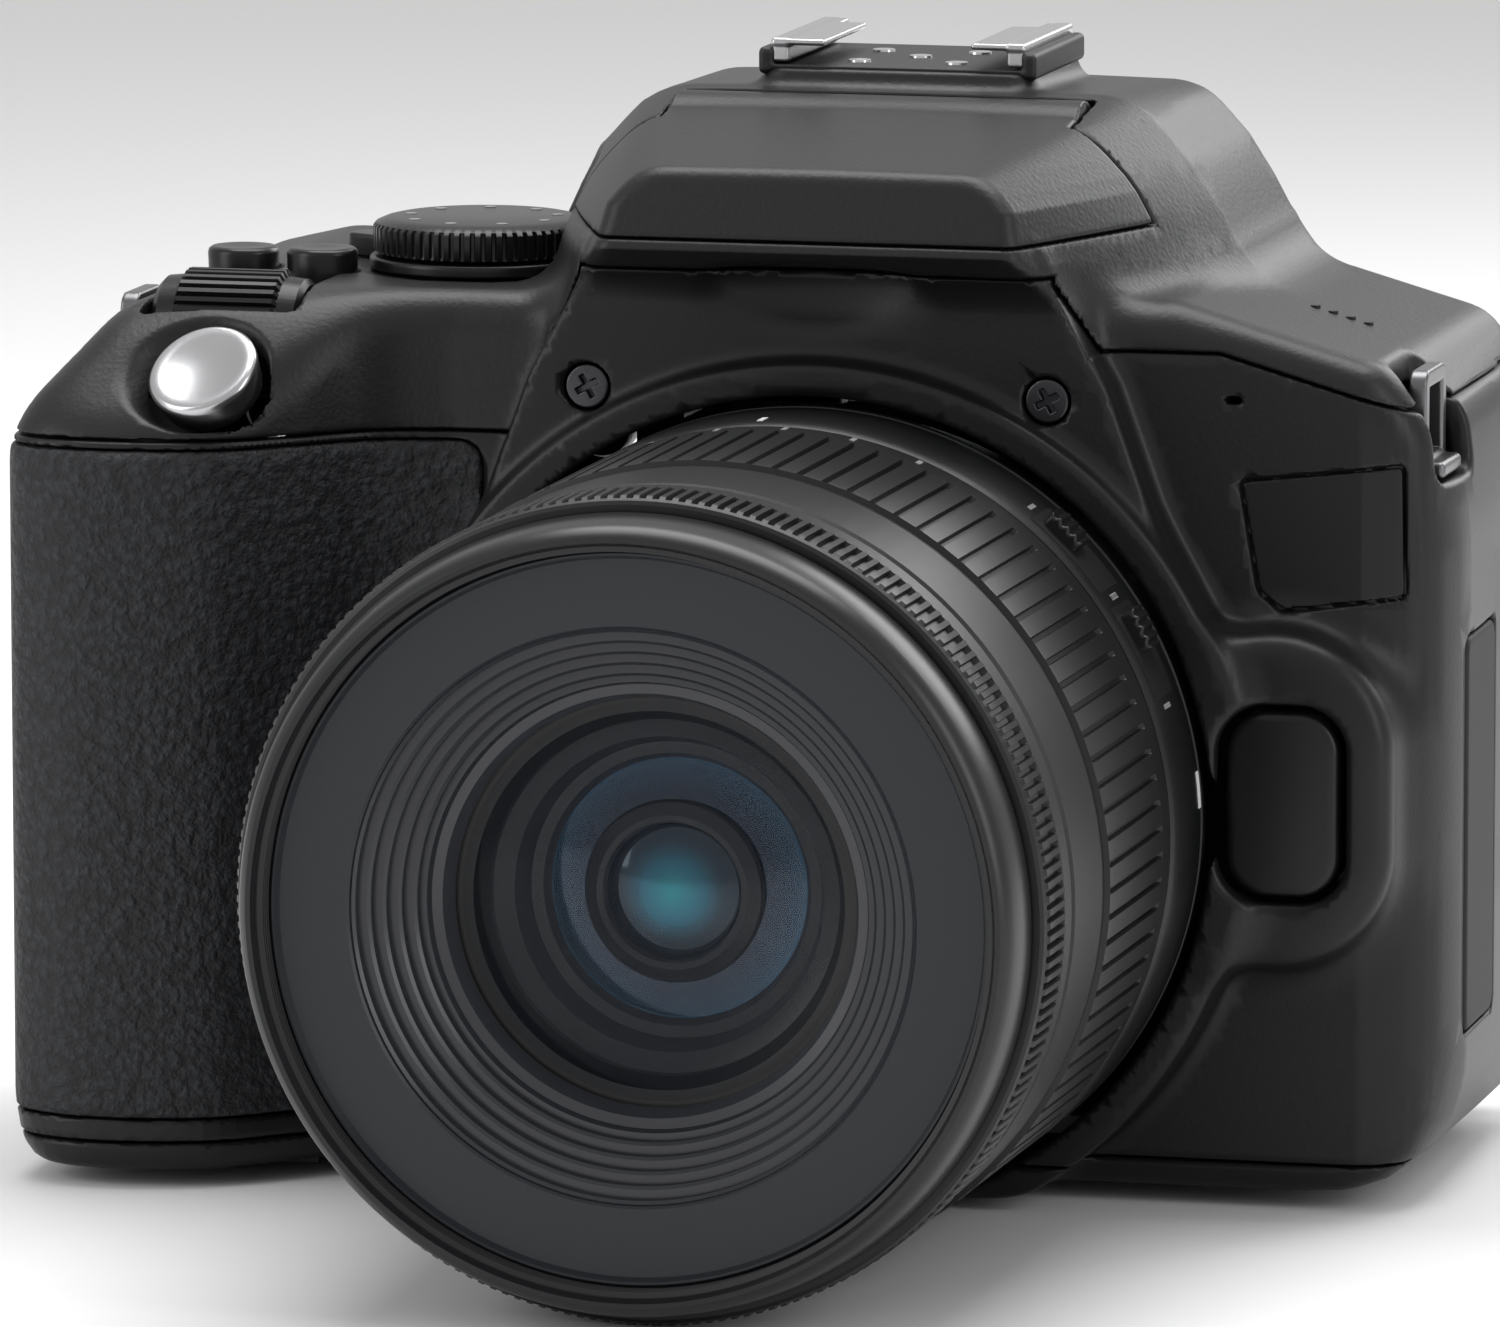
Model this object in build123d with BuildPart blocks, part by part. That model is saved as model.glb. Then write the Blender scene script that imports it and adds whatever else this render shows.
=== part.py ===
from build123d import *
# Digital single-lens reflex camera with a standard zoom lens, as an assembly of separate pieces.
# Millimetres. +Z is up, the lens points along -Y, +X is towards the monitor hinge.
# Origin: centre of the tripod socket at the flat base. YF is the lens flange plane.
import math
import os


os.makedirs("parts", exist_ok=True)

# ---- driving dimensions -------------------------------------------------------------------
YF = -26.0            # Y of the lens flange plane (flange to sensor is 44 mm)
AX_Z = 32.4           # height of the lens axis above the base
X_L, X_R = -68.9, 53.0  # widest points of the body at the grip and at the monitor hinge
FLANGE_FOCAL = 44.0
BACK = 51.0           # rear face of the body behind the flange
GRIP_FRONT = -9.0     # front of the hand grip, ahead of the flange
Z_PLATE = 73.4        # top plate on the grip side
WALL = 2.4
SKIN = 1.1            # thickness of the rubber skins
R_BARREL = 33.25      # largest radius of the zoom lens
ZOOM_GAP = 0.35


def Y(v):
    """Distance behind the flange plane to Y in the row frame."""
    return v + YF


def xz(y):
    """Plane facing -Y at the given Y."""
    return Plane.XZ.offset(-y)


def box(x0, x1, y0, y1, z0, z1):
    with BuildPart() as b:
        with BuildSketch(Plane.XY.offset(z0)):
            with Locations(((x0 + x1) / 2, (y0 + y1) / 2)):
                Rectangle(x1 - x0, y1 - y0)
        extrude(amount=z1 - z0)
    return b.part


def ring_y(r_out, r_in, y0, y1, cx=0.0, cz=AX_Z):
    """Round sleeve on an axis parallel to Y."""
    with BuildPart() as b:
        with BuildSketch(xz(y1)):
            with Locations((cx, cz)):
                Circle(r_out)
                if r_in:
                    Circle(r_in, mode=Mode.SUBTRACT)
        extrude(amount=y1 - y0)
    return b.part


def poly_xz(points, y0, y1):
    with BuildPart() as b:
        with BuildSketch(xz(y1)):
            with BuildLine():
                Polyline(*points, close=True)
            make_face()
        extrude(amount=y1 - y0)
    return b.part


def poly_yz(points, x0, x1):
    with BuildPart() as b:
        with BuildSketch(Plane.YZ.offset(x0)):
            with BuildLine():
                Polyline(*points, close=True)
            make_face()
        extrude(amount=x1 - x0)
    return b.part


# ---- body hull: front outline crossed with plan outline -------------------------------------
with BuildLine() as grip_path:
    Spline((X_L, Y(20)), (X_L + 0.2, Y(2)), (X_L + 2.2, Y(-5.6)), (-59.8, Y(GRIP_FRONT)), (-50.5, Y(-7.6)),
           (-44.0, Y(-2.2)), (-38.5, Y(3.2)), (-32.0, Y(5.0)), tangents=((0, -1), (1, 0)))
with BuildLine() as corner_path:
    Spline((45.0, Y(5.0)), (50.2, Y(7.5)), (X_R, Y(14.5)), tangents=((1, 0), (0, 1)))
GRIP_LINE = (grip_path.line, 18)
CORNER_LINE = (corner_path.line, 5)


def inset(line, d):
    """Points along a path, moved d towards the inside of the body."""
    path, n = line
    pts = []
    for k in range(n + 1):
        p, t = path @ (k / n), path % (k / n)
        pts.append((p.X - t.Y * d, p.Y + t.X * d))
    return pts


def body_hull(d):
    """Outer form of body and grip, inset by d."""
    with BuildPart() as h:
        with BuildSketch(Plane.XY):
            with BuildLine():
                a = Spline(*inset(GRIP_LINE, d), tangents=((0, -1), (1, 0)))
                c = Spline(*inset(CORNER_LINE, d), tangents=((1, 0), (0, 1)))
                Line(a @ 1, c @ 0)
                e = Line(c @ 1, (X_R - d, Y(BACK - 5)))
                f = TangentArc(e @ 1, (X_R - 5, Y(BACK) - d), tangent=(0, 1))
                g = Line(f @ 1, (X_L + 8, Y(BACK) - d))
                i = TangentArc(g @ 1, (X_L + d, Y(BACK - 8)), tangent=(-1, 0))
                Line(i @ 1, a @ 0)
            make_face()
        extrude(amount=100)
        with BuildSketch(xz(Y(70))):
            with BuildLine():
                p = FilletPolyline((-20, 0), (X_L, 0), (X_L, 61.0), (-60.6, 71.6), (-53.0, Z_PLATE),
                                   (-20.0, Z_PLATE), radius=[7.0, 4.0, 6.0, 6.0])
                q = FilletPolyline((29, 74.2), (46.5, 69.2), (51.2, 64.0), (X_R, 54.0), (X_R, 0), (20, 0),
                                   radius=[5.0, 5.0, 5.0, 10.0])
                Line(p @ 1, q @ 0)
                Line(q @ 1, p @ 0)
            make_face()
            if d:
                offset(amount=-d, kind=Kind.INTERSECTION)
        extrude(amount=120, mode=Mode.INTERSECT)
    return h.part


def slope_cut(d):
    """Space ahead of and above the sloping face that carries the shutter button."""
    k = d / 0.743
    return poly_yz([(Y(GRIP_FRONT - 12), 51.0 - k), (Y(GRIP_FRONT - 12), 120), (Y(30), 120), (Y(30), 96.9 - k)],
                   -90, -20)


def hump(d):
    """Viewfinder housing with the flash head: narrow at the front, wide at the back."""
    def sec(y, pts):
        with BuildSketch(xz(y)) as s:
            with BuildLine():
                Polyline(*pts, close=True)
            make_face()
        return s.sketch
    front = [(-18.3 + d, 62), (-18.3 + d, 77.5), (-16.6 + d, 82.4), (-13.8 + d, 84.6 - d), (13.8 - d, 84.6 - d),
             (16.6 - d, 82.4), (18.3 - d, 77.5), (18.3 - d, 62)]
    mid = [(-29.0 + d, 62), (-27.8 + d, 76.0), (-24.2 + d, 86.0), (-20.0 + d, 89.8 - d), (20.0 - d, 89.8 - d),
           (24.2 - d, 86.0), (27.8 - d, 76.0), (29.0 - d, 62)]
    back = [(-30.0 + d, 62), (-28.5 + d, 75.0), (-24.5 + d, 84.5), (-20.0 + d, 88.6 - d), (20.0 - d, 88.6 - d),
            (24.5 - d, 84.5), (28.5 - d, 75.0), (30.0 - d, 62)]
    with BuildPart() as h:
        add(sec(Y(-3.2 + d), front))
        add(sec(Y(28.0), mid))
        loft(ruled=True)
    with BuildPart() as h2:
        add(sec(Y(28.0), mid))
        add(sec(Y(BACK + 1.0 - d), back))
        loft(ruled=True)
    with BuildPart() as u:
        add(h.part)
        add(h2.part)
    return u.part


def fairing(d):
    """Front fairing round the lens mount: a trapezoid over a round collar."""
    with BuildPart() as f:
        with BuildSketch(xz(Y(14.0))):
            with BuildLine():
                Polyline((-33.5 + d, 30), (-31.2 + d, 46), (-28.2 + d, 57), (-25.0 + d, 67.5), (-18.2 + d, 78.0 - d),
                         (18.2 - d, 78.0 - d), (25.0 - d, 67.5), (28.2 - d, 57), (31.2 - d, 46), (33.5 - d, 30),
                         close=True)
            make_face()
            with Locations((0, AX_Z)):
                Circle(36.8 - d)
        extrude(amount=14.0 - 0.6 - d)
    return f.part


hull0 = body_hull(0)
hull1 = body_hull(SKIN)
hull2 = body_hull(WALL)

with BuildPart() as outer:
    add(hull0)
    add(slope_cut(0), mode=Mode.SUBTRACT)
    add(hump(0))
    add(fairing(0))
    # raised lip round the lens and the thumb-sized boss round the release button
    add(ring_y(36.8, 34.0, Y(-1.6), Y(2)))
    with BuildSketch(xz(Y(8))):
        with Locations((38.5, 34.0)):
            SlotOverall(25.0, 19.5, rotation=90)
    extrude(amount=8.6, taper=12)
    # flat base
    add(box(-100, 100, -100, 100, -20, 0), mode=Mode.SUBTRACT)

with BuildPart() as cavity:
    add(hull2)
    add(slope_cut(WALL), mode=Mode.SUBTRACT)
    add(hump(WALL))
    add(fairing(WALL))

# ---- split regions -----------------------------------------------------------------------------
SEAM = 61.8
Z_BASE = 3.0
with BuildPart() as top_region:
    add(box(-90, -33, -90, 60, SEAM, 120))
    add(box(-33, 33, -90, Y(6), 76.6, 120))
    add(box(-33, 33, Y(6), 60, SEAM, 120))
    add(poly_xz([(33, 70.2), (70, 59.5), (70, 120), (33, 120)], -90, 60))
with BuildPart() as rear_region:
    add(box(-90, 90, Y(44), 60, Z_BASE, 120))
    add(top_region.part, mode=Mode.SUBTRACT)
with BuildPart() as front_region:
    add(box(-90, 90, -90, Y(44), Z_BASE, 120))
    add(top_region.part, mode=Mode.SUBTRACT)

# rubber skins lie on the shell
grip_band = box(-90, -29.6, -90, Y(40), 5.2, 61.2)
thumb_band = box(-90, -50.5, Y(44.2), 60, 39.0, 53.0)
with BuildPart() as grip_skin:
    add(hull0)
    add(hull1, mode=Mode.SUBTRACT)
    add(grip_band, mode=Mode.INTERSECT)
    add(slope_cut(0), mode=Mode.SUBTRACT)
    add(fairing(-0.3), mode=Mode.SUBTRACT)
with BuildPart() as thumb_skin:
    add(hull0)
    add(hull1, mode=Mode.SUBTRACT)
    add(thumb_band, mode=Mode.INTERSECT)

# ---- positions -----------------------------------------------------------------------------------
FL_AX = (Y(23.0), 84.4)     # flash hinge axis, along X
FL_R = 4.3
FL_HALF = 17.5              # half width of the head at its hinge
FL_Z = 79.0                 # floor under the flash head
SHOE_Y0, SHOE_Y1 = Y(28.6), Y(46.6)
MODE = (-34.2, Y(22.0))
SHUT = Vector(-51.0, Y(-3.5), 66.75)
SHUT_N = Vector(-0.14, -0.66, 0.738).normalized()
DIAL_C = (Y(8.6), 68.9)     # main dial axis, along X
DIAL_R = 5.6
DIAL_X = (-58.0, -45.5)
ISO = (-46.8, Y(16.9))
DISP = (-54.0, Y(17.9))
LCD_AX = (50.3, Y(53.6))    # monitor swing axis, along Z
LCD = dict(x0=-25.5, x1=46.8, y0=Y(50.1), y1=Y(57.1), z0=5.5, z1=60.0)
REAR_BUTTONS = {
    "menu_button": (37.0, 64.6, 2.6), "info_button": (45.2, 62.8, 2.6), "live_view_button": (-31.0, 56.5, 2.6),
    "ae_lock_button": (-52.5, 57.4, 2.3), "af_point_button": (-60.5, 57.0, 2.3),
    "playback_button": (-36.5, 12.5, 2.6),
}
PAD = (-45.5, 29.0)
DIOPTER = (-22.6, 78.0)
REL = (39.6, 33.9)          # release button, centre of its face
PIN_X, PIN_Z = 29.3, 34.4   # lens lock pin
PORT = dict(y0=Y(14.0), y1=Y(27.0), z0=13.0, z1=46.0)
DOOR = dict(x0=-64.6, x1=-42.6, y0=Y(1.5), y1=Y(38.0))
LUG_R = (50.6, Y(14.0), 65.4)
LUG_L = (-65.6, Y(22.0), 65.6)

# room for the flash head in the top cover, with a cheek each side of its hinge
with BuildPart() as flash_clear:
    add(box(-40, 40, Y(-12), FL_AX[0], FL_AX[1], 120))
    with BuildSketch(Plane.YZ.offset(-40)):
        with Locations(FL_AX):
            Circle(FL_R + 1.65)
    extrude(amount=80, mode=Mode.SUBTRACT)
    add(box(-40, 40, Y(-12), FL_AX[0] - 5.7, FL_Z, 120))
    add(box(-FL_HALF - 0.35, FL_HALF + 0.35, FL_AX[0] - 6, FL_AX[0], FL_Z, 120))
    with BuildSketch(Plane.YZ.offset(-FL_HALF - 0.35)):
        with Locations(FL_AX):
            Circle(FL_R + 0.8)
    extrude(amount=2 * FL_HALF + 0.7)
    add(box(-FL_HALF - 0.35, FL_HALF + 0.35, FL_AX[0] - 1, FL_AX[0] + FL_R + 0.8, FL_AX[1], 120))
with BuildPart() as cheeks:
    add(hump(0.6))
    with BuildPart(mode=Mode.INTERSECT):
        add(box(-FL_HALF - 3.6, -FL_HALF, FL_AX[0] - 7, FL_AX[0] + 8, FL_Z - 1, 120))
        add(box(FL_HALF, FL_HALF + 3.6, FL_AX[0] - 7, FL_AX[0] + 8, FL_Z - 1, 120))

with BuildPart() as dial_wall:
    add(hump(0.8))
    with BuildPart(mode=Mode.INTERSECT):
        with BuildSketch(Plane.XY.offset(71.5)):
            with Locations(MODE):
                Circle(12.0)
        extrude(amount=20)
with BuildPart() as slab:
    add(hump(WALL / 2))
    add(box(-31.0, 31.0, Y(-10), Y(29.5), FL_Z - 2.1, FL_Z + 0.9), mode=Mode.INTERSECT)

shut_plane = Plane(origin=SHUT, z_dir=SHUT_N)

# ---- covers ------------------------------------------------------------------------------------
with BuildPart() as shell:
    add(outer.part)
    add(cavity.part, mode=Mode.SUBTRACT)
    add(slab.part)
    add(cheeks.part)
    add(dial_wall.part)

with BuildPart() as top_cover:
    add(shell.part)
    add(top_region.part, mode=Mode.INTERSECT)
    add(flash_clear.part, mode=Mode.SUBTRACT)
    with BuildSketch(Plane.YZ.offset(-21.0)):
        with Locations(FL_AX):
            Circle(1.05)
    extrude(amount=42.0, mode=Mode.SUBTRACT)
    # accessory shoe block
    with BuildSketch(Plane.XY.offset(86.0)):
        with Locations((0, (SHOE_Y0 + SHOE_Y1) / 2)):
            RectangleRounded(23.4, SHOE_Y1 - SHOE_Y0 + 1.2, 2.0)
    extrude(amount=4.2)
    # shutter button seat
    with BuildSketch(shut_plane.offset(-6)):
        Circle(5.05)
    extrude(amount=12, mode=Mode.SUBTRACT)
    # scoop in the housing beside the mode dial
    with BuildSketch(Plane.XY.offset(Z_PLATE + 0.05)):
        with Locations(MODE):
            Circle(9.95)
    extrude(amount=30, mode=Mode.SUBTRACT)
    # window for the main dial
    add(box(DIAL_X[0] - 0.5, DIAL_X[1] + 0.5, DIAL_C[0] - 6.3, DIAL_C[0] + 6.3, 62.5, 80), mode=Mode.SUBTRACT)
    # spindle holes of mode dial and the two round keys
    with BuildSketch(Plane.XY.offset(68)):
        with Locations(MODE):
            Circle(4.1)
        with Locations(ISO, DISP):
            Circle(3.3)
    extrude(amount=10, mode=Mode.SUBTRACT)
    # viewfinder opening
    with BuildSketch(xz(Y(60))):
        with Locations((0, 74.0)):
            RectangleRounded(21.0, 15.0, 3.0)
    extrude(amount=22, mode=Mode.SUBTRACT)
    # dioptre wheel seat
    add(ring_y(3.9, 0, Y(46.2), Y(60), DIOPTER[0], DIOPTER[1]), mode=Mode.SUBTRACT)
    # strap lug seats
    add(box(47.2, 60, LUG_R[1] - 5.0, LUG_R[1] + 5.0, 59.5, 80), mode=Mode.SUBTRACT)
    add(box(-80, -62.2, LUG_L[1] - 5.0, LUG_L[1] + 5.0, 61.9, 80), mode=Mode.SUBTRACT)

with BuildPart() as front_cover:
    add(shell.part)
    add(front_region.part, mode=Mode.INTERSECT)
    add(grip_skin.part, mode=Mode.SUBTRACT)
    # mount opening
    add(ring_y(32.3, 0, Y(-6), Y(16)), mode=Mode.SUBTRACT)
    add(ring_y(34.0, 0, Y(-6), Y(0.6)), mode=Mode.SUBTRACT)
    with BuildSketch(shut_plane.offset(-6)):
        Circle(5.05)
    extrude(amount=12, mode=Mode.SUBTRACT)
    # release button seat
    with BuildSketch(xz(Y(10))):
        with Locations(REL):
            SlotOverall(15.6, 9.4, rotation=90)
    extrude(amount=20, mode=Mode.SUBTRACT)
    # terminal window
    add(box(48, 60, PORT["y0"] - 0.2, PORT["y1"] + 0.2, PORT["z0"] - 0.2, PORT["z1"] + 0.2), mode=Mode.SUBTRACT)
    add(box(47.2, 60, LUG_R[1] - 5.0, LUG_R[1] + 5.0, 59.5, 80), mode=Mode.SUBTRACT)
    # badge recess
    with BuildSketch(xz(Y(7))):
        with BuildLine():
            Polyline((35.0, 59.8), (47.6, 61.2), (47.6, 50.6), (38.6, 49.2), (36.4, 50.6), close=True)
        make_face()
    extrude(amount=1.5, mode=Mode.SUBTRACT)
    # seats of the two fairing screws
    with BuildSketch(xz(Y(2.2))):
        with Locations((-19.5, 66.4), (19.5, 66.4)):
            Circle(1.95)
    extrude(amount=4, mode=Mode.SUBTRACT)

with BuildPart() as rear_cover:
    add(shell.part)
    add(rear_region.part, mode=Mode.INTERSECT)
    add(thumb_skin.part, mode=Mode.SUBTRACT)
    # monitor recess and the two hinge ears
    add(box(LCD["x0"] - 0.4, 60, Y(49.9), 60, LCD["z0"] - 0.4, LCD["z1"] + 0.4), mode=Mode.SUBTRACT)
    for z0, z1 in ((19.0, 21.8), (45.2, 48.0)):
        add(box(LCD_AX[0] - 2.6, LCD_AX[0] + 2.2, Y(48.9), LCD_AX[1], z0, z1))
        with BuildSketch(Plane.XY.offset(z0)):
            with Locations(LCD_AX):
                Circle(3.0)
        extrude(amount=z1 - z0)
    with BuildSketch(Plane.XY.offset(18)):
        with Locations(LCD_AX):
            Circle(1.05)
    extrude(amount=31, mode=Mode.SUBTRACT)
    # key holes
    for cx, cz, r in REAR_BUTTONS.values():
        add(ring_y(r + 0.3, 0, Y(46), Y(54), cx, cz), mode=Mode.SUBTRACT)
    add(ring_y(9.4, 0, Y(50.0), Y(54), PAD[0], PAD[1]), mode=Mode.SUBTRACT)
    add(ring_y(3.6, 0, Y(46), Y(54), PAD[0], PAD[1]), mode=Mode.SUBTRACT)

with BuildPart() as bottom_cover:
    add(shell.part)
    add(box(-90, 90, -90, 60, -1, Z_BASE), mode=Mode.INTERSECT)
    with BuildSketch(Plane.XY.offset(-1)):
        Circle(6.1)
    extrude(amount=6, mode=Mode.SUBTRACT)
    add(box(DOOR["x0"] - 0.2, DOOR["x1"] + 0.2, DOOR["y0"] - 0.2, DOOR["y1"] + 0.2, -1, 6), mode=Mode.SUBTRACT)
    add(ring_y(34.0, 0, Y(-6), Y(0.6)), mode=Mode.SUBTRACT)
    add(ring_y(32.3, 0, Y(-6), Y(16)), mode=Mode.SUBTRACT)

with BuildPart() as grip_rubber:
    add(grip_skin.part)
with BuildPart() as thumb_rubber:
    add(thumb_skin.part)

# ---- frame ---------------------------------------------------------------------------------------
with BuildPart() as chassis:
    add(box(-36.0, 43.0, Y(14.0), Y(37.6), 3.05, 4.6))
    add(box(-36.0, -34.4, Y(14.0), Y(37.6), 4.6, 50.0))
    add(box(41.4, 43.0, Y(14.0), Y(37.6), 4.6, 50.0))
    with BuildSketch(Plane.XY.offset(2)):
        Circle(6.1)
    extrude(amount=5, mode=Mode.SUBTRACT)

with BuildPart() as tripod_socket:
    with BuildSketch(Plane.XY):
        Circle(6.0)
    extrude(amount=8.0)
    with BuildSketch(Plane.XY.offset(4.65)):
        Circle(9.0)
    extrude(amount=2.2)
    with BuildSketch(Plane.XY.offset(-1)):
        Circle(3.175)
    extrude(amount=7.0, mode=Mode.SUBTRACT)

with BuildPart() as mirror_box:
    add(box(-22.0, 22.0, Y(8.0), Y(37.8), 13.0, 51.0))
    add(box(-18.5, 18.5, Y(7.0), Y(39.0), 15.5, 48.0), mode=Mode.SUBTRACT)
    add(box(-15.0, 15.0, Y(10.0), Y(34.0), 47.0, 52.0), mode=Mode.SUBTRACT)
    add(ring_y(31.6, 0, Y(2.6), Y(8.0)))
    add(ring_y(27.2, 0, Y(1.0), Y(8.0)), mode=Mode.SUBTRACT)
    add(box(-18.5, 18.5, Y(7.0), Y(12.0), 15.5, 48.0), mode=Mode.SUBTRACT)
    add(ring_y(1.2, 0, Y(2), Y(9), PIN_X, PIN_Z), mode=Mode.SUBTRACT)

with BuildPart() as mount_ring:
    add(ring_y(31.8, 27.0, Y(0.0), Y(2.5)))
    with BuildSketch(xz(Y(2.0))):
        with Locations((0, AX_Z)):
            with PolarLocations(29.4, 4, start_angle=45):
                Circle(0.9)
    extrude(amount=3, mode=Mode.SUBTRACT)
    add(ring_y(0.93, 0, Y(-1), Y(4), PIN_X, PIN_Z), mode=Mode.SUBTRACT)

# ---- reflex optics -----------------------------------------------------------------------------
MIR_AX = (Y(35.0), 45.2)
with BuildPart() as reflex_mirror:
    with BuildSketch(Plane.YZ.offset(-14.0)):
        with BuildLine():
            u = Vector(-math.sqrt(0.5), -math.sqrt(0.5))
            n = Vector(-math.sqrt(0.5), math.sqrt(0.5))
            o = Vector(*MIR_AX)
            Polyline(tuple(o + n * 0.6)[:2], tuple(o + u * 26 + n * 0.6)[:2], tuple(o + u * 26 - n * 0.6)[:2],
                     tuple(o - n * 0.6)[:2], close=True)
        make_face()
    extrude(amount=28)
    with BuildSketch(Plane.YZ.offset(-16.5)):
        with Locations(MIR_AX):
            Circle(1.0)
    extrude(amount=33)

with BuildPart() as focusing_screen:
    add(box(-14.8, 14.8, Y(10.3), Y(33.7), 51.2, 52.4))

with BuildPart() as pentaprism:
    with BuildSketch(Plane.YZ.offset(-13.5)):
        with BuildLine():
            Polyline((Y(9.5), 53.0), (Y(34.0), 53.0), (Y(34.5), 67.0), (Y(27.5), 75.8), (Y(9.5), 64.5), close=True)
        make_face()
    extrude(amount=27)

with BuildPart() as eyepiece_lens:
    with BuildSketch(xz(Y(46.0))):
        with Locations((0, 74.0)):
            RectangleRounded(20.4, 14.4, 2.8)
    extrude(amount=3.0)

with BuildPart() as eyecup:
    with BuildSketch(xz(Y(60.8))):
        with Locations((0, 74.2)):
            RectangleRounded(35.0, 22.5, 6.0)
            RectangleRounded(21.0, 14.6, 4.0, mode=Mode.SUBTRACT)
    extrude(amount=60.8 - 52.3)
    fillet(eyecup.faces().sort_by(Axis.Y)[-1].outer_wire().edges(), 2.0)

with BuildPart() as shutter_unit:
    add(box(-22.0, 22.0, Y(38.0), Y(42.4), 4.6, 51.0))
    add(box(-12.2, 12.2, Y(37.0), Y(44.0), AX_Z - 8.6, AX_Z + 8.6), mode=Mode.SUBTRACT)
    add(box(-14.2, 14.2, Y(39.6), Y(41.0), 5.4, 50.0), mode=Mode.SUBTRACT)
with BuildPart() as shutter_curtain:
    add(box(-14.0, 14.0, Y(40.0), Y(40.6), AX_Z - 9.4, AX_Z + 9.4))

with BuildPart() as image_sensor:
    add(box(-16.5, 16.5, Y(FLANGE_FOCAL), Y(FLANGE_FOCAL + 1.8), AX_Z - 13.0, AX_Z + 13.0))
    add(box(-11.8, 11.8, Y(FLANGE_FOCAL - 1.0), Y(FLANGE_FOCAL), AX_Z - 8.0, AX_Z + 8.0))

with BuildPart() as main_board:
    add(box(-27.0, 46.0, Y(46.4), Y(47.6), 7.0, 56.0))
    add(box(-20.0, -6.0, Y(47.6), Y(48.3), 12.0, 26.0))
    add(box(10.0, 24.0, Y(47.6), Y(48.3), 30.0, 44.0))

# ---- power and storage --------------------------------------------------------------------------
with BuildPart() as battery:
    add(box(-64.0, -50.0, Y(3.0), Y(36.0), 2.9, 52.3))
    fillet(battery.edges().filter_by(Axis.Z), 2.5)
with BuildPart() as memory_card:
    add(box(-47.4, -45.3, Y(8.0), Y(32.0), 3.2, 35.2))
with BuildPart() as battery_door:
    add(box(DOOR["x0"], DOOR["x1"] - 0.5, DOOR["y0"], DOOR["y1"], 0.0, 1.9))
    with BuildSketch(xz(DOOR["y1"] - 4)):
        with Locations((DOOR["x1"] - 1.1, 1.0)):
            Circle(1.0)
    extrude(amount=DOOR["y1"] - DOOR["y0"] - 8)

# ---- terminals ----------------------------------------------------------------------------------
with BuildPart() as terminal_cover:
    add(box(51.2, X_R, PORT["y0"], PORT["y1"], PORT["z0"], PORT["z1"]))
    fillet(terminal_cover.edges().filter_by(Axis.Z).group_by(Axis.X)[-1].sort_by(Axis.Y)[-1], 0.8)
with BuildPart() as jack_panel:
    add(box(48.4, 50.5, PORT["y0"] - 1.0, PORT["y1"] + 1.0, PORT["z0"] - 1.0, PORT["z1"] + 1.0))
    with BuildSketch(Plane.YZ.offset(49.0)):
        with Locations(((PORT["y0"] + PORT["y1"]) / 2, 40.5)):
            Circle(1.75)
        with Locations(((PORT["y0"] + PORT["y1"]) / 2, 34.0)):
            Rectangle(8.0, 2.4)
        with Locations(((PORT["y0"] + PORT["y1"]) / 2, 22.5)):
            Rectangle(3.4, 11.2)
    extrude(amount=3, mode=Mode.SUBTRACT)

# ---- flash and shoe ----------------------------------------------------------------------------
with BuildPart() as flash_head:
    add(hump(0))
    with BuildPart(mode=Mode.INTERSECT):
        add(box(-40, 40, Y(-12), FL_AX[0] - 0.5, FL_AX[1], 120))
        with BuildSketch(Plane.YZ.offset(-40)):
            with Locations(FL_AX):
                Circle(FL_R + 1.95)
        extrude(amount=80, mode=Mode.SUBTRACT)
        add(box(-40, 40, Y(-12), FL_AX[0] - 6.1, FL_Z + 0.35, 120))
        add(box(-FL_HALF, FL_HALF, FL_AX[0] - 7, FL_AX[0], FL_Z + 0.35, 120))
    # rounded rear end about the hinge axis
    with BuildSketch(Plane.YZ.offset(-FL_HALF)):
        with Locations(FL_AX):
            Circle(FL_R)
    extrude(amount=2 * FL_HALF)
    with BuildSketch(Plane.YZ.offset(-FL_HALF - 1)):
        with Locations(FL_AX):
            Circle(1.06)
    extrude(amount=2 * FL_HALF + 2, mode=Mode.SUBTRACT)
    # seat of the lamp window
    add(box(-12.5, 12.5, Y(1.0), Y(9.0), FL_Z, 82.0), mode=Mode.SUBTRACT)
with BuildPart() as flash_hinge_pin:
    with BuildSketch(Plane.YZ.offset(-20.8)):
        with Locations(FL_AX):
            Circle(1.0)
    extrude(amount=41.6)
with BuildPart() as flash_window:
    add(box(-12.3, 12.3, Y(1.2), Y(8.8), FL_Z + 0.45, 81.2))
with BuildPart() as hot_shoe:
    # accessory shoe to the common 18.6 mm foot: floor plate, two side walls, two rails
    xh, zf = 9.35, 90.2
    add(box(-11.0, 11.0, SHOE_Y0, SHOE_Y1, zf, zf + 0.3))
    for s in (-1, 1):
        x0, x1 = sorted((s * xh, s * 11.0))
        add(box(x0, x1, SHOE_Y0, SHOE_Y1, zf + 0.3, zf + 2.4))
        x0, x1 = sorted((s * 6.3, s * 11.0))
        add(box(x0, x1, SHOE_Y0, SHOE_Y1, zf + 1.9, zf + 2.4))

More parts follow.
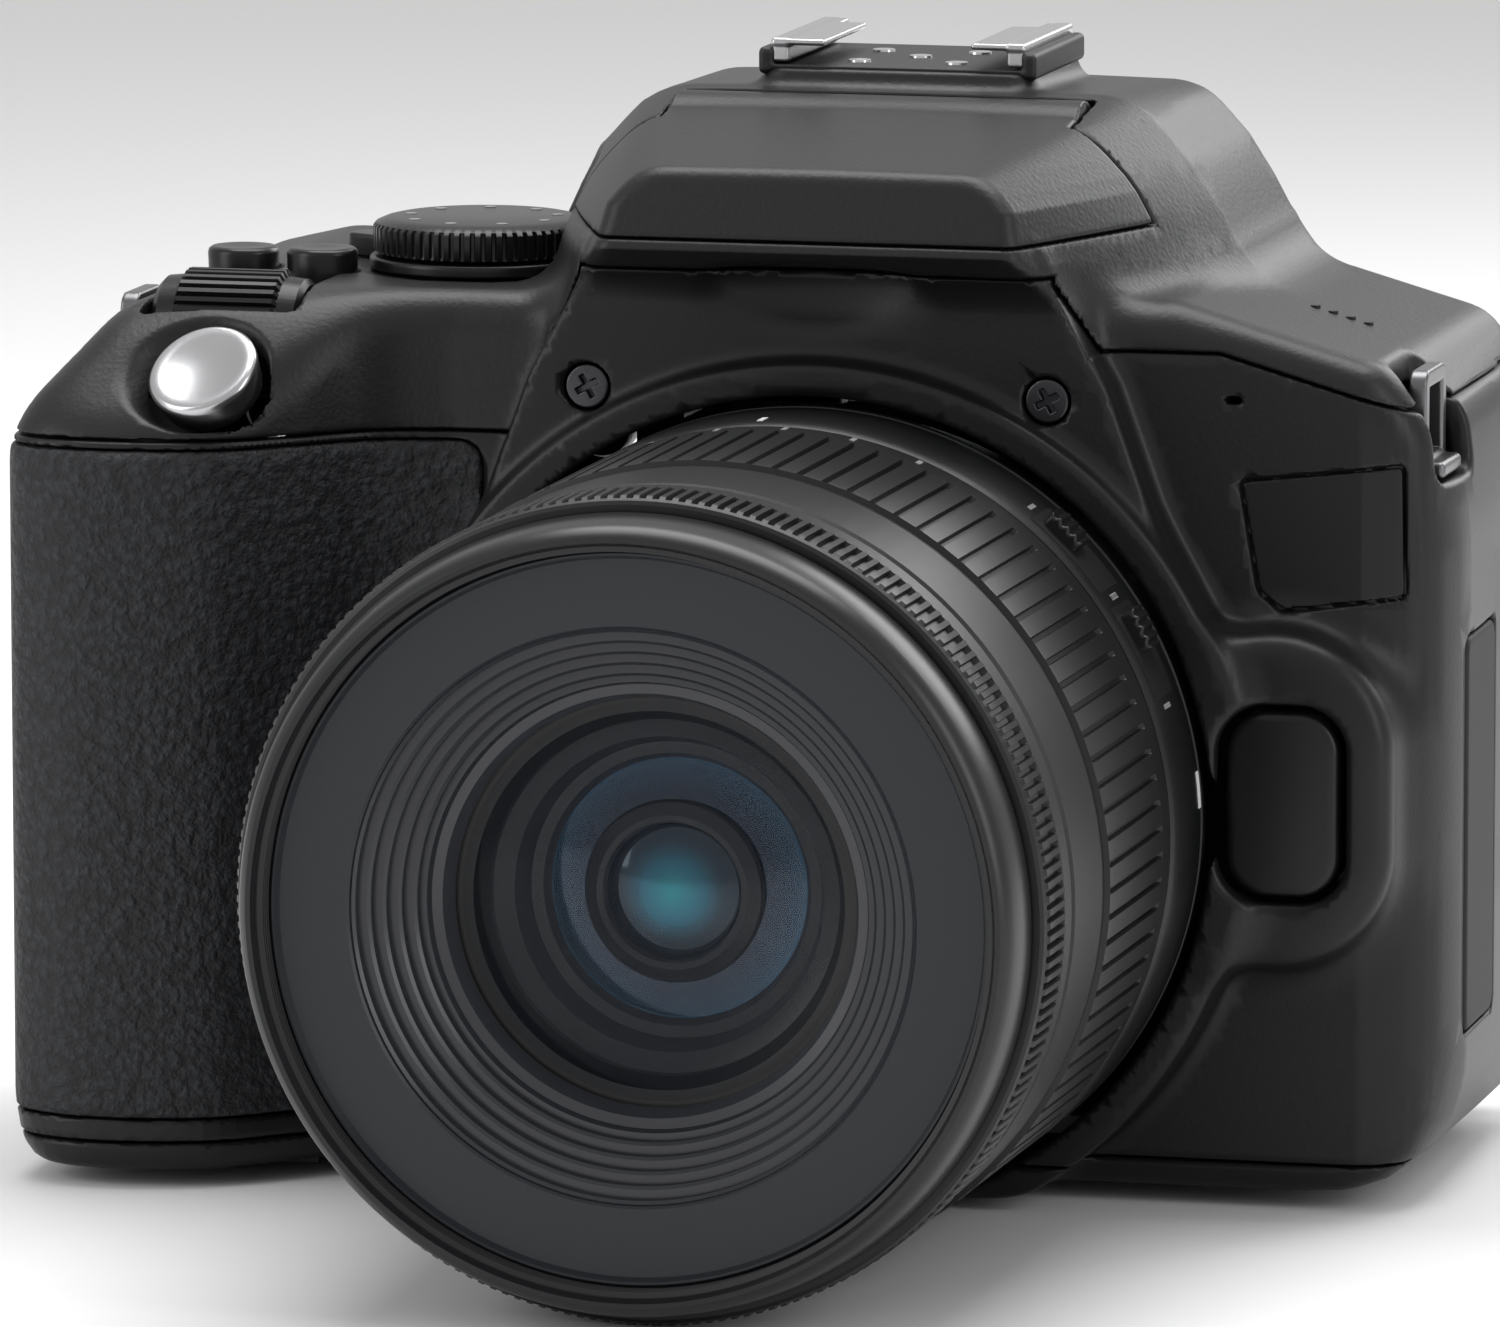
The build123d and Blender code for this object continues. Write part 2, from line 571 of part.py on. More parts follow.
# ---- top controls -------------------------------------------------------------------------------
with BuildPart() as shutter_button:
    with BuildSketch(shut_plane.offset(-2.0)):
        Circle(4.75)
    extrude(amount=3.2)
    with BuildSketch(shut_plane.offset(-4.0)):
        Circle(1.5)
    extrude(amount=2.0)
with BuildPart() as main_dial:
    with BuildSketch(Plane.YZ.offset(DIAL_X[0])):
        with Locations(DIAL_C):
            Circle(DIAL_R - 0.9)
    extrude(amount=DIAL_X[1] - DIAL_X[0])
    with BuildSketch(Plane.YZ.offset(DIAL_X[0] + 2.2)):
        with Locations(DIAL_C):
            RegularPolygon(DIAL_R - 0.2, 30)
    extrude(amount=DIAL_X[1] - DIAL_X[0] - 4.4)
    with BuildSketch(Plane.YZ.offset(DIAL_X[0] - 0.4)):
        with Locations(DIAL_C):
            Circle(1.2)
    extrude(amount=DIAL_X[1] - DIAL_X[0] + 0.8)
with BuildPart() as mode_dial:
    with BuildSketch(Plane.XY.offset(74.8)):
        with Locations(MODE):
            RegularPolygon(9.3, 48)
    extrude(amount=3.0)
    chamfer(mode_dial.edges().group_by(Axis.Z)[-1], 0.5)
    with BuildSketch(Plane.XY.offset(69.5)):
        with Locations(MODE):
            Circle(2.2)
    extrude(amount=6.0)
with BuildPart() as power_switch:
    with BuildSketch(Plane.XY.offset(Z_PLATE + 0.15)):
        with Locations(MODE):
            Circle(9.6)
        with Locations((MODE[0] - 9.6, MODE[1] + 4.6)):
            RectangleRounded(6.4, 3.6, 1.2, rotation=-25)
    extrude(amount=1.05)
    with BuildSketch(Plane.XY.offset(70.6)):
        with Locations(MODE):
            Circle(4.0)
    extrude(amount=3.0)
    with BuildSketch(Plane.XY.offset(69)):
        with Locations(MODE):
            Circle(2.3)
    extrude(amount=8, mode=Mode.SUBTRACT)


def top_key(c, r):
    with BuildPart() as k:
        with BuildSketch(Plane.XY.offset(71.4)):
            with Locations(c):
                Circle(r)
        extrude(amount=3.4)
        chamfer(k.edges().group_by(Axis.Z)[-1], 0.35)
    return k


iso_button = top_key(ISO, 3.0)
disp_button = top_key(DISP, 3.0)

# ---- release button and lock pin --------------------------------------------------------------
with BuildPart() as lens_release_button:
    with BuildSketch(xz(Y(4.6))):
        with Locations(REL):
            SlotOverall(15.2, 9.0, rotation=90)
    extrude(amount=5.2)
    chamfer(lens_release_button.edges().group_by(Axis.Y)[0], 0.5)
with BuildPart() as lens_lock_pin:
    with BuildSketch(xz(Y(5.4))):
        with Locations((PIN_X, PIN_Z)):
            Circle(0.85)
    extrude(amount=6.6)

# ---- monitor ------------------------------------------------------------------------------------
with BuildPart() as lcd_hinge:
    with BuildSketch(Plane.XY.offset(22.1)):
        with Locations(LCD_AX):
            Circle(3.0)
    extrude(amount=22.8)
    with BuildSketch(Plane.XY.offset(19.2)):
        with Locations(LCD_AX):
            Circle(1.0)
    extrude(amount=28.6)
    add(box(LCD["x1"] - 1.5, LCD_AX[0], LCD_AX[1] - 1.6, LCD_AX[1] + 1.6, 26.0, 41.0))
with BuildPart() as lcd_housing:
    add(box(LCD["x0"], LCD["x1"], LCD["y0"], LCD["y1"], LCD["z0"], LCD["z1"]))
    fillet(lcd_housing.edges().filter_by(Axis.Y), 3.0)
    add(box(LCD["x0"] + 4.4, LCD["x1"] - 5.2, LCD["y1"] - 1.5, LCD["y1"] + 1, LCD["z0"] + 4.4, LCD["z1"] - 5.0),
        mode=Mode.SUBTRACT)
    add(box(LCD["x1"] - 1.6, LCD_AX[0], LCD_AX[1] - 1.8, LCD_AX[1] + 1.8, 25.8, 41.2), mode=Mode.SUBTRACT)
with BuildPart() as lcd_glass:
    add(box(LCD["x0"] + 4.6, LCD["x1"] - 5.4, LCD["y1"] - 1.5, LCD["y1"] - 0.2, LCD["z0"] + 4.6, LCD["z1"] - 5.2))

# ---- rear controls ------------------------------------------------------------------------------
def rear_key(cx, cz, r):
    with BuildPart() as k:
        add(ring_y(r, 0, Y(48.4), Y(52.0), cx, cz))
        chamfer(k.edges().group_by(Axis.Y)[-1], 0.3)
    return k


rear_keys = {n: rear_key(*v) for n, v in REAR_BUTTONS.items()}
with BuildPart() as set_button:
    add(ring_y(3.3, 0, Y(48.4), Y(52.6), PAD[0], PAD[1]))
    chamfer(set_button.edges().group_by(Axis.Y)[-1], 0.3)
with BuildPart() as dpad:
    add(ring_y(9.0, 3.7, Y(50.55), Y(52.2), PAD[0], PAD[1]))
with BuildPart() as diopter_dial:
    add(ring_y(3.6, 0, Y(48.6), Y(53.2), DIOPTER[0], DIOPTER[1]))

# ---- strap lugs and fairing screws -----------------------------------------------------------
with BuildPart() as strap_lugs:
    with BuildSketch(Plane.YZ.offset(48.6)):
        with Locations((LUG_R[1], 64.6)):
            RectangleRounded(8.4, 8.8, 1.4)
        with Locations((LUG_R[1], 65.2)):
            Rectangle(5.6, 3.4, mode=Mode.SUBTRACT)
    extrude(amount=1.5)
    with BuildSketch(Plane.YZ.offset(-64.6)):
        with Locations((LUG_L[1], 66.4)):
            RectangleRounded(8.4, 8.6, 1.4)
        with Locations((LUG_L[1], 67.0)):
            Rectangle(5.6, 3.4, mode=Mode.SUBTRACT)
    extrude(amount=1.5)
with BuildPart() as fairing_screws:
    with BuildSketch(xz(Y(2.1))):
        with Locations((-19.5, 66.4), (19.5, 66.4)):
            Circle(1.8)
    extrude(amount=1.3)

# ---- zoom lens -----------------------------------------------------------------------------------
with BuildPart() as lens_bayonet:
    add(ring_y(31.2, 22.5, Y(-1.9), Y(-0.05)))
    add(ring_y(26.3, 22.5, Y(-0.05), Y(5.4)))
    add(ring_y(1.2, 0, Y(-1.45), Y(1), PIN_X, PIN_Z), mode=Mode.SUBTRACT)
with BuildPart() as lens_barrel:
    add(ring_y(R_BARREL, 31.4, Y(-12.0), Y(-0.35)))
    add(ring_y(31.4, 28.9, Y(-44.0), Y(-2.0)))
    add(ring_y(31.4, 24.0, Y(-4.4), Y(-2.0)))
    # seats of the two side switches
    for a in (44.0, 27.0):
        with BuildSketch(Plane(origin=(0, Y(-7.4), AX_Z), x_dir=(0, 1, 0), z_dir=(math.cos(math.radians(a)), 0,
                                                                                  math.sin(math.radians(a)))).offset(31.6)):
            Rectangle(5.0, 7.4)
        extrude(amount=4, mode=Mode.SUBTRACT)
with BuildPart() as zoom_ring:
    add(ring_y(R_BARREL, 31.75, Y(-45.6), Y(-12.35)))
with BuildPart() as inner_barrel:
    add(ring_y(28.55, 27.0, Y(-46.4), Y(-12.0)))
    add(ring_y(31.4, 27.0, Y(-56.4), Y(-46.4)))
    add(ring_y(27.0, 17.6, Y(-47.8), Y(-46.4)))
with BuildPart() as focus_ring:
    add(ring_y(33.0, 31.75, Y(-56.2), Y(-46.2)))
with BuildPart() as front_bezel:
    with BuildSketch(Plane.YZ):
        with BuildLine():
            Polyline((Y(-56.5), AX_Z + 32.4), (Y(-61.2), AX_Z + 31.4), (Y(-61.8), AX_Z + 30.8),
                     (Y(-61.8), AX_Z + 28.9), (Y(-58.4), AX_Z + 28.9), (Y(-58.4), AX_Z + 23.2),
                     (Y(-51.4), AX_Z + 16.2), (Y(-50.0), AX_Z + 16.2), (Y(-50.0), AX_Z + 18.0),
                     (Y(-56.5), AX_Z + 24.6), close=True)
        make_face()
    revolve(axis=Axis((0, 0, AX_Z), (0, 1, 0)), revolution_arc=360)
with BuildPart() as front_element:
    add(ring_y(16.4, 0, Y(-50.9), Y(-43.5)))
    with Locations((0, Y(-50.9) + 51.2, AX_Z)):
        Sphere(51.2, mode=Mode.INTERSECT)
with BuildPart() as rear_element:
    add(ring_y(23.9, 10.4, Y(-3.9), Y(-2.4)))
    add(ring_y(10.4, 0, Y(-4.0), Y(1.5)))


def side_switch(a):
    n = (math.cos(math.radians(a)), 0, math.sin(math.radians(a)))
    with BuildPart() as s:
        with BuildSketch(Plane(origin=(0, Y(-7.4), AX_Z), x_dir=(0, 1, 0), z_dir=n).offset(31.75)):
            with Locations((0, 1.6)):
                RectangleRounded(3.6, 3.6, 0.6)
        extrude(amount=2.6)
    return s


af_mode_switch = side_switch(44.0)
stabilizer_switch = side_switch(27.0)

# ---- write ---------------------------------------------------------------------------------------
pieces = {
    "front_cover": front_cover, "top_cover": top_cover, "rear_cover": rear_cover, "bottom_cover": bottom_cover,
    "grip_rubber": grip_rubber, "thumb_rubber": thumb_rubber, "chassis": chassis, "tripod_socket": tripod_socket,
    "mirror_box": mirror_box, "mount_ring": mount_ring, "reflex_mirror": reflex_mirror,
    "focusing_screen": focusing_screen, "pentaprism": pentaprism, "eyepiece_lens": eyepiece_lens, "eyecup": eyecup,
    "shutter_unit": shutter_unit, "shutter_curtain": shutter_curtain, "image_sensor": image_sensor,
    "main_board": main_board, "battery": battery, "memory_card": memory_card, "battery_door": battery_door,
    "terminal_cover": terminal_cover, "jack_panel": jack_panel, "flash_head": flash_head,
    "flash_window": flash_window, "flash_hinge_pin": flash_hinge_pin, "hot_shoe": hot_shoe, "shutter_button": shutter_button, "main_dial": main_dial,
    "mode_dial": mode_dial, "power_switch": power_switch, "iso_button": iso_button, "disp_button": disp_button,
    "lens_release_button": lens_release_button, "lens_lock_pin": lens_lock_pin,
    "lcd_hinge": lcd_hinge,
    "lcd_housing": lcd_housing, "lcd_glass": lcd_glass, "set_button": set_button, "dpad": dpad,
    "diopter_dial": diopter_dial, "strap_lugs": strap_lugs, "fairing_screws": fairing_screws,
    "lens_bayonet": lens_bayonet, "lens_barrel": lens_barrel, "zoom_ring": zoom_ring, "inner_barrel": inner_barrel,
    "focus_ring": focus_ring, "front_bezel": front_bezel, "front_element": front_element,
    "rear_element": rear_element, "af_mode_switch": af_mode_switch, "stabilizer_switch": stabilizer_switch,
    **rear_keys,
}
for name, piece in pieces.items():
    piece.part.label = name
    export_step(piece.part, f"parts/{name}.step")
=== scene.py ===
import math

import bpy
import numpy as np
import openvdb
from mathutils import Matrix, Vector


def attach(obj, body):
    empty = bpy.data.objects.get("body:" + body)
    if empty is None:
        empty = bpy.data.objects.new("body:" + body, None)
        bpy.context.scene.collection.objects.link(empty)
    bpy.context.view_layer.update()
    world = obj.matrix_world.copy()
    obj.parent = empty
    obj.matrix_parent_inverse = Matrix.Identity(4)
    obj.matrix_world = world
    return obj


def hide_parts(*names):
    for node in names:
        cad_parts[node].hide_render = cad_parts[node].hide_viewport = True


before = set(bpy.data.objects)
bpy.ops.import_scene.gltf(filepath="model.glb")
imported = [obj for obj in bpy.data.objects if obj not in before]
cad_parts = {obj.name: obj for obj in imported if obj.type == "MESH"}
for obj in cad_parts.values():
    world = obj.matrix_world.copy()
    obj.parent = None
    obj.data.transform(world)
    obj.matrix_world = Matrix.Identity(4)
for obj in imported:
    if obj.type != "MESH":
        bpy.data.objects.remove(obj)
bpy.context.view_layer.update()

MM = 0.001
YF, AZ, BACK = -26.0, 32.4, 51.0
X_L, X_R = -68.9, 53.0
GRIP_FRONT, Z_PLATE = -9.0, 73.4


def Y(v):
    return v + YF


# ------------------------------------------------------------------ materials
def new_mat(name):
    m = bpy.data.materials.new(name)
    m.use_nodes = True
    nt = m.node_tree
    b = nt.nodes["Principled BSDF"]
    return m, nt, b


def setv(b, **k):
    names = {"rough": "Roughness", "metal": "Metallic", "coat": "Coat Weight", "coatr": "Coat Roughness",
             "spec": "Specular IOR Level", "ior": "IOR", "alpha": "Alpha", "trans": "Transmission Weight",
             "aniso": "Anisotropic", "sheen": "Sheen Weight"}
    for a, v in k.items():
        b.inputs[names[a]].default_value = v


def col(b, c):
    b.inputs["Base Color"].default_value = (*c, 1)


def bump_noise(nt, b, scale, dist, strength=0.5, kind="noise", detail=2.0, extra=None):
    tc = nt.nodes.new("ShaderNodeTexCoord")
    bump = nt.nodes.new("ShaderNodeBump")
    bump.inputs["Distance"].default_value = dist
    bump.inputs["Strength"].default_value = strength
    if kind == "noise":
        t = nt.nodes.new("ShaderNodeTexNoise")
        t.inputs["Scale"].default_value = scale
        t.inputs["Detail"].default_value = detail
        nt.links.new(tc.outputs["Object"], t.inputs["Vector"])
        nt.links.new(t.outputs["Fac"], bump.inputs["Height"])
    elif kind == "leather":
        n = nt.nodes.new("ShaderNodeTexNoise")
        n.inputs["Scale"].default_value = scale * 0.9
        nt.links.new(tc.outputs["Object"], n.inputs["Vector"])
        mixv = nt.nodes.new("ShaderNodeVectorMath")
        mixv.operation = "MULTIPLY_ADD"
        nt.links.new(n.outputs["Color"], mixv.inputs[0])
        mixv.inputs[1].default_value = (0.9 / scale,) * 3
        nt.links.new(tc.outputs["Object"], mixv.inputs[2])
        v = nt.nodes.new("ShaderNodeTexVoronoi")
        v.feature = "SMOOTH_F1"
        v.inputs["Scale"].default_value = scale
        v.inputs["Smoothness"].default_value = 0.6
        nt.links.new(mixv.outputs[0], v.inputs["Vector"])
        n2 = nt.nodes.new("ShaderNodeTexNoise")
        n2.inputs["Scale"].default_value = scale * 2.6
        nt.links.new(tc.outputs["Object"], n2.inputs["Vector"])
        inv = nt.nodes.new("ShaderNodeMath")
        inv.operation = "MULTIPLY_ADD"
        nt.links.new(v.outputs["Distance"], inv.inputs[0])
        inv.inputs[1].default_value = -1.4
        nt.links.new(n2.outputs["Fac"], inv.inputs[2])
        nt.links.new(inv.outputs[0], bump.inputs["Height"])
        extra = inv
    nt.links.new(bump.outputs["Normal"], b.inputs["Normal"])
    return tc, extra


def plastic(name, c, rough, scale=2600, dist=0.00006, strength=0.35, spec=0.5):
    m, nt, b = new_mat(name)
    col(b, c)
    setv(b, rough=rough, spec=spec)
    bump_noise(nt, b, scale, dist, strength)
    return m


def metal(name, c, rough, scale=0, dist=0.0):
    m, nt, b = new_mat(name)
    col(b, c)
    setv(b, rough=rough, metal=1.0)
    if scale:
        bump_noise(nt, b, scale, dist, 0.3)
    return m


def leather(name, c):
    m, nt, b = new_mat(name)
    col(b, c)
    setv(b, rough=0.56, spec=0.36)
    _, h = bump_noise(nt, b, 1150, 0.00022, 0.85, "leather")
    # colour follows the grain height, darker in the hollows between the raised cells: painted shade on the grain's own
    # uneven tone
    ramp = nt.nodes.new("ShaderNodeValToRGB")
    ramp.color_ramp.elements[0].position = 0.1
    ramp.color_ramp.elements[0].color = (c[0] * 0.55, c[1] * 0.55, c[2] * 0.57, 1)
    ramp.color_ramp.elements[1].position = 0.75
    ramp.color_ramp.elements[1].color = (c[0] * 1.5, c[1] * 1.5, c[2] * 1.55, 1)
    add = nt.nodes.new("ShaderNodeMath")
    add.operation = "ADD"
    add.inputs[1].default_value = 0.45
    nt.links.new(h.outputs[0], add.inputs[0])
    nt.links.new(add.outputs[0], ramp.inputs["Fac"])
    nt.links.new(ramp.outputs["Color"], b.inputs["Base Color"])
    return m


def spun(name, c, centre, normal, rough=0.28):
    """Metal turned on a lathe: fine rings about an axis and a fan-shaped gleam."""
    m, nt, b = new_mat(name)
    col(b, c)
    setv(b, rough=rough, metal=1.0, aniso=0.9)
    tan = nt.nodes.new("ShaderNodeTangent")
    tan.direction_type = "RADIAL"
    tan.axis = "Z"
    nt.links.new(tan.outputs[0], b.inputs["Tangent"])
    return m


M = {}
M["body"] = plastic("body_plastic", (0.0070, 0.0072, 0.0080), 0.38, 2400, 0.00006, 0.3, 0.32)
M["satin"] = plastic("satin_plastic", (0.0065, 0.0067, 0.0072), 0.33, 1500, 0.00003, 0.2, 0.32)
M["top"] = plastic("top_plastic", (0.0085, 0.0087, 0.0095), 0.40, 2300, 0.00008, 0.4, 0.36)
M["key"] = plastic("key_plastic", (0.006, 0.006, 0.0065), 0.30, 1800, 0.00002, 0.2, 0.35)
M["deep"] = plastic("deep_black", (0.003, 0.003, 0.0032), 0.5, 1500, 0.00002, 0.2)
M["leather"] = leather("grip_leather", (0.016, 0.0168, 0.0188))
M["rubber"] = plastic("soft_rubber", (0.010, 0.010, 0.0105), 0.62, 1500, 0.00005, 0.3, 0.35)
M["ring"] = plastic("ring_rubber", (0.0060, 0.0062, 0.0068), 0.40, 1500, 0.00003, 0.25, 0.4)
M["lens"] = plastic("lens_plastic", (0.0055, 0.0057, 0.0062), 0.36, 1800, 0.00004, 0.25, 0.35)
M["lensgrey"] = plastic("lens_grey", (0.017, 0.0185, 0.0225), 0.34, 1600, 0.00003, 0.2, 0.4)
M["stepgrey"] = plastic("lens_step_grey", (0.024, 0.0255, 0.030), 0.27, 1600, 0.00001, 0.1, 0.5)
M["band"] = plastic("lens_band", (0.035, 0.036, 0.041), 0.27, 1600, 0.00002, 0.15, 0.5)
M["rim"] = plastic("lens_rim", (0.010, 0.0103, 0.0115), 0.30, 1600, 0.00002, 0.15, 0.4)
M["silver"] = metal("bright_steel", (0.55, 0.55, 0.56), 0.26, 1200, 0.00001)
M["lug"] = metal("lug_steel", (0.17, 0.17, 0.175), 0.34, 1200, 0.00001)
M["darkmetal"] = metal("black_screw", (0.07, 0.07, 0.075), 0.32, 1200, 0.00001)
M["mount"] = metal("mount_steel", (0.62, 0.62, 0.63), 0.22)
M["white"] = plastic("white_print", (0.72, 0.72, 0.72), 0.5, 1500, 0.0, 0.0)
M["grey"] = plastic("grey_print", (0.22, 0.22, 0.22), 0.5, 1500, 0.0, 0.0)
M["red"] = plastic("red_print", (0.55, 0.02, 0.02), 0.5, 1500, 0.0, 0.0)
M["green"] = plastic("green_print", (0.03, 0.32, 0.06), 0.5, 1500, 0.0, 0.0)
M["board"] = plastic("board_green", (0.01, 0.07, 0.03), 0.45)
M["alloy"] = metal("die_cast", (0.42, 0.42, 0.43), 0.4, 1500, 0.00003)
M["battery"] = plastic("battery_case", (0.03, 0.03, 0.032), 0.4)

m, nt, b = new_mat("screen_cover")
col(b, (0.004, 0.004, 0.005)); setv(b, rough=0.06, coat=0.6, coatr=0.03)
M["screen"] = m
m, nt, b = new_mat("clear_glass")
col(b, (0.85, 0.9, 0.9)); setv(b, rough=0.02, trans=1.0, ior=1.5)
M["clear"] = m
m, nt, b = new_mat("mirror_silver")
col(b, (0.9, 0.9, 0.9)); setv(b, rough=0.02, metal=1.0)
M["mirror"] = m
m, nt, b = new_mat("front_glass")
col(b, (0.004, 0.012, 0.03)); setv(b, rough=0.015, alpha=0.14, coat=0.25, coatr=0.01, spec=0.5)
M["frontglass"] = m


def painted_glow_glass(name, centre, stops, rough=0.10, metal=0.85):
    """Coated element: its blue tint is the coating's, its brighter rings and spot are painted reflection; the colour
    runs with distance from its optical axis.
    """
    m, nt, b = new_mat(name)
    tc = nt.nodes.new("ShaderNodeTexCoord")
    sub = nt.nodes.new("ShaderNodeVectorMath")
    sub.operation = "SUBTRACT"
    sub.inputs[1].default_value = centre
    mul = nt.nodes.new("ShaderNodeVectorMath")
    mul.operation = "MULTIPLY"
    mul.inputs[1].default_value = (1, 0, 1)
    ln = nt.nodes.new("ShaderNodeVectorMath")
    ln.operation = "LENGTH"
    sc = nt.nodes.new("ShaderNodeMath")
    sc.operation = "MULTIPLY"
    sc.inputs[1].default_value = 1000 / 20.0
    ramp = nt.nodes.new("ShaderNodeValToRGB")
    cr = ramp.color_ramp
    while len(cr.elements) < len(stops):
        cr.elements.new(0.5)
    for e, (p, c) in zip(cr.elements, stops):
        e.position = p / 20.0
        e.color = (*c, 1)
    nt.links.new(tc.outputs["Object"], sub.inputs[0])
    nt.links.new(sub.outputs[0], mul.inputs[0])
    nt.links.new(mul.outputs[0], ln.inputs[0])
    nt.links.new(ln.outputs["Value"], sc.inputs[0])
    nt.links.new(sc.outputs[0], ramp.inputs["Fac"])
    nt.links.new(ramp.outputs["Color"], b.inputs["Base Color"])
    setv(b, rough=rough, metal=metal, coat=0.8, coatr=0.02)
    return m


# ------------------------------------------------------------------ field helpers (millimetres)
def smax(a, b, k):
    h = np.maximum(k - np.abs(a - b), 0) / k
    return np.maximum(a, b) + h * h * k * 0.25


def smin(a, b, k):
    return -smax(-a, -b, k)


def sd_poly(px, py, poly):
    poly = np.asarray(poly, float)
    n = len(poly)
    px, py = np.broadcast_arrays(np.asarray(px, float), np.asarray(py, float))
    d = np.full(px.shape, 1e18)
    s = np.ones(px.shape)
    j = n - 1
    for i in range(n):
        ex, ey = poly[j] - poly[i]
        wx, wy = px - poly[i][0], py - poly[i][1]
        t = np.clip((wx * ex + wy * ey) / (ex * ex + ey * ey + 1e-12), 0, 1)
        bx, by = wx - ex * t, wy - ey * t
        d = np.minimum(d, bx * bx + by * by)
        c1, c2, c3 = py >= poly[i][1], py < poly[j][1], ex * wy > ey * wx
        flip = (c1 & c2 & c3) | (~c1 & ~c2 & ~c3)
        s = np.where(flip, -s, s)
        j = i
    return s * np.sqrt(d)


def sd_box(x, y, z, x0, x1, y0, y1, z0, z1, r=0.0):
    qx = np.abs(x - (x0 + x1) / 2) - (x1 - x0) / 2 + r
    qy = np.abs(y - (y0 + y1) / 2) - (y1 - y0) / 2 + r
    qz = np.abs(z - (z0 + z1) / 2) - (z1 - z0) / 2 + r
    o = np.sqrt(np.maximum(qx, 0) ** 2 + np.maximum(qy, 0) ** 2 + np.maximum(qz, 0) ** 2)
    return o + np.minimum(np.maximum(qx, np.maximum(qy, qz)), 0) - r


def sd_rect(u, v, cu, cv, hu, hv, r):
    qu, qv = np.abs(u - cu) - hu + r, np.abs(v - cv) - hv + r
    return np.sqrt(np.maximum(qu, 0) ** 2 + np.maximum(qv, 0) ** 2) + np.minimum(np.maximum(qu, qv), 0) - r


def catmull(pts, n=7, t0=None, t1=None):
    p = [np.array(q, float) for q in pts]
    a = p[0] - (np.array(t0) * np.linalg.norm(p[1] - p[0]) if t0 else p[1] - p[0])
    z = p[-1] + (np.array(t1) * np.linalg.norm(p[-1] - p[-2]) if t1 else p[-1] - p[-2])
    q = [a] + p + [z]
    out = []
    for i in range(1, len(q) - 2):
        p0, p1, p2, p3 = q[i - 1:i + 3]
        for k in range(n):
            t = k / n
            out.append(0.5 * (2 * p1 + (p2 - p0) * t + (2 * p0 - 5 * p1 + 4 * p2 - p3) * t * t
                              + (3 * p1 - p0 - 3 * p2 + p3) * t ** 3))
    out.append(p[-1])
    return out


def round_poly(pts, radii, n=6):
    out = []
    m = len(pts)
    for i in range(m):
        p, a, b = (np.array(q, float) for q in (pts[i], pts[i - 1], pts[(i + 1) % m]))
        r = radii[i]
        if r <= 0:
            out.append(p)
            continue
        u, v = (a - p) / np.linalg.norm(a - p), (b - p) / np.linalg.norm(b - p)
        ang = math.acos(np.clip(u @ v, -1, 1))
        d = r / math.tan(ang / 2)
        for k in range(n + 1):
            t = k / n
            out.append((1 - t) ** 2 * (p + u * d) + 2 * t * (1 - t) * p + t * t * (p + v * d))
    return out


PLAN = (catmull([(X_L, Y(20)), (X_L - 0.1, Y(2)), (X_L + 1.5, Y(-5.8)), (-60.2, Y(GRIP_FRONT - 0.3)), (-50.5, Y(-7.6)),
                 (-44.0, Y(-2.2)), (-38.5, Y(3.2)), (-32.0, Y(5.0))], 6, (0, -1), (1, 0))
        + catmull([(45.0, Y(5.0)), (50.2, Y(7.5)), (X_R, Y(14.5))], 6, (1, 0), (0, 1))
        + round_poly([(X_R - 1.9, Y(BACK)), (X_L, Y(BACK)), (X_L, Y(20.5)), (X_R, Y(15.0))], [5, 8, 0, 0])[:14])
FRONT = round_poly([(X_L, 0), (X_L, 61.0), (-60.6, 71.6), (-53.0, Z_PLATE), (-20, Z_PLATE), (29, 74.2), (46.5, 69.2),
                    (51.2, 64.0), (X_R, 54.0), (X_R, 0)], [6.5, 5, 6, 6, 0, 5, 5, 5, 5, 14])
FAIR = round_poly([(-33.9, 30), (-31.6, 46), (-28.4, 57), (-24.6, 67.5), (-18.0, 79.5), (18.0, 79.5), (24.6, 67.5),
                   (28.4, 57), (31.6, 46), (33.9, 30)], [0, 9, 9, 9, 3, 3, 9, 9, 9, 0])
REL = (39.6, 33.9)
SHUT = np.array([-51.0, Y(-3.5), 66.75])
SN = np.array([-0.14, -0.66, 0.738]); SN = SN / np.linalg.norm(SN)
FL_AX = (Y(23.0), 84.4)
FL_R, FL_HALF, FL_Z = 4.3, 17.5, 79.0
SHOE_Y0, SHOE_Y1 = Y(28.6), Y(46.6)
MODE = (-34.2, Y(22.0))
DIAL_C = (Y(8.6), 68.9)
ISO, DISP = (-46.8, Y(16.9)), (-54.0, Y(17.9))
LCD_AX = (50.3, Y(53.6))
LCD = dict(x0=-25.5, x1=46.8, y0=Y(50.1), y1=Y(57.1), z0=5.5, z1=60.0)
KEYS = {"menu_button": (37.0, 64.6, 2.6), "info_button": (45.2, 62.8, 2.6), "live_view_button": (-31.0, 56.5, 2.6),
        "ae_lock_button": (-52.5, 57.4, 2.3), "af_point_button": (-60.5, 57.0, 2.3),
        "playback_button": (-36.5, 12.5, 2.6)}
PAD, DIOPTER = (-45.5, 29.0), (-22.6, 78.0)
PORT = dict(y0=Y(14.0), y1=Y(27.0), z0=13.0, z1=46.0)
DOOR = dict(x0=-64.6, x1=-42.6, y0=Y(1.5), y1=Y(38.0))
LUG_R, LUG_L = (50.6, Y(14.0), 65.4), (-65.6, Y(22.0), 65.6)


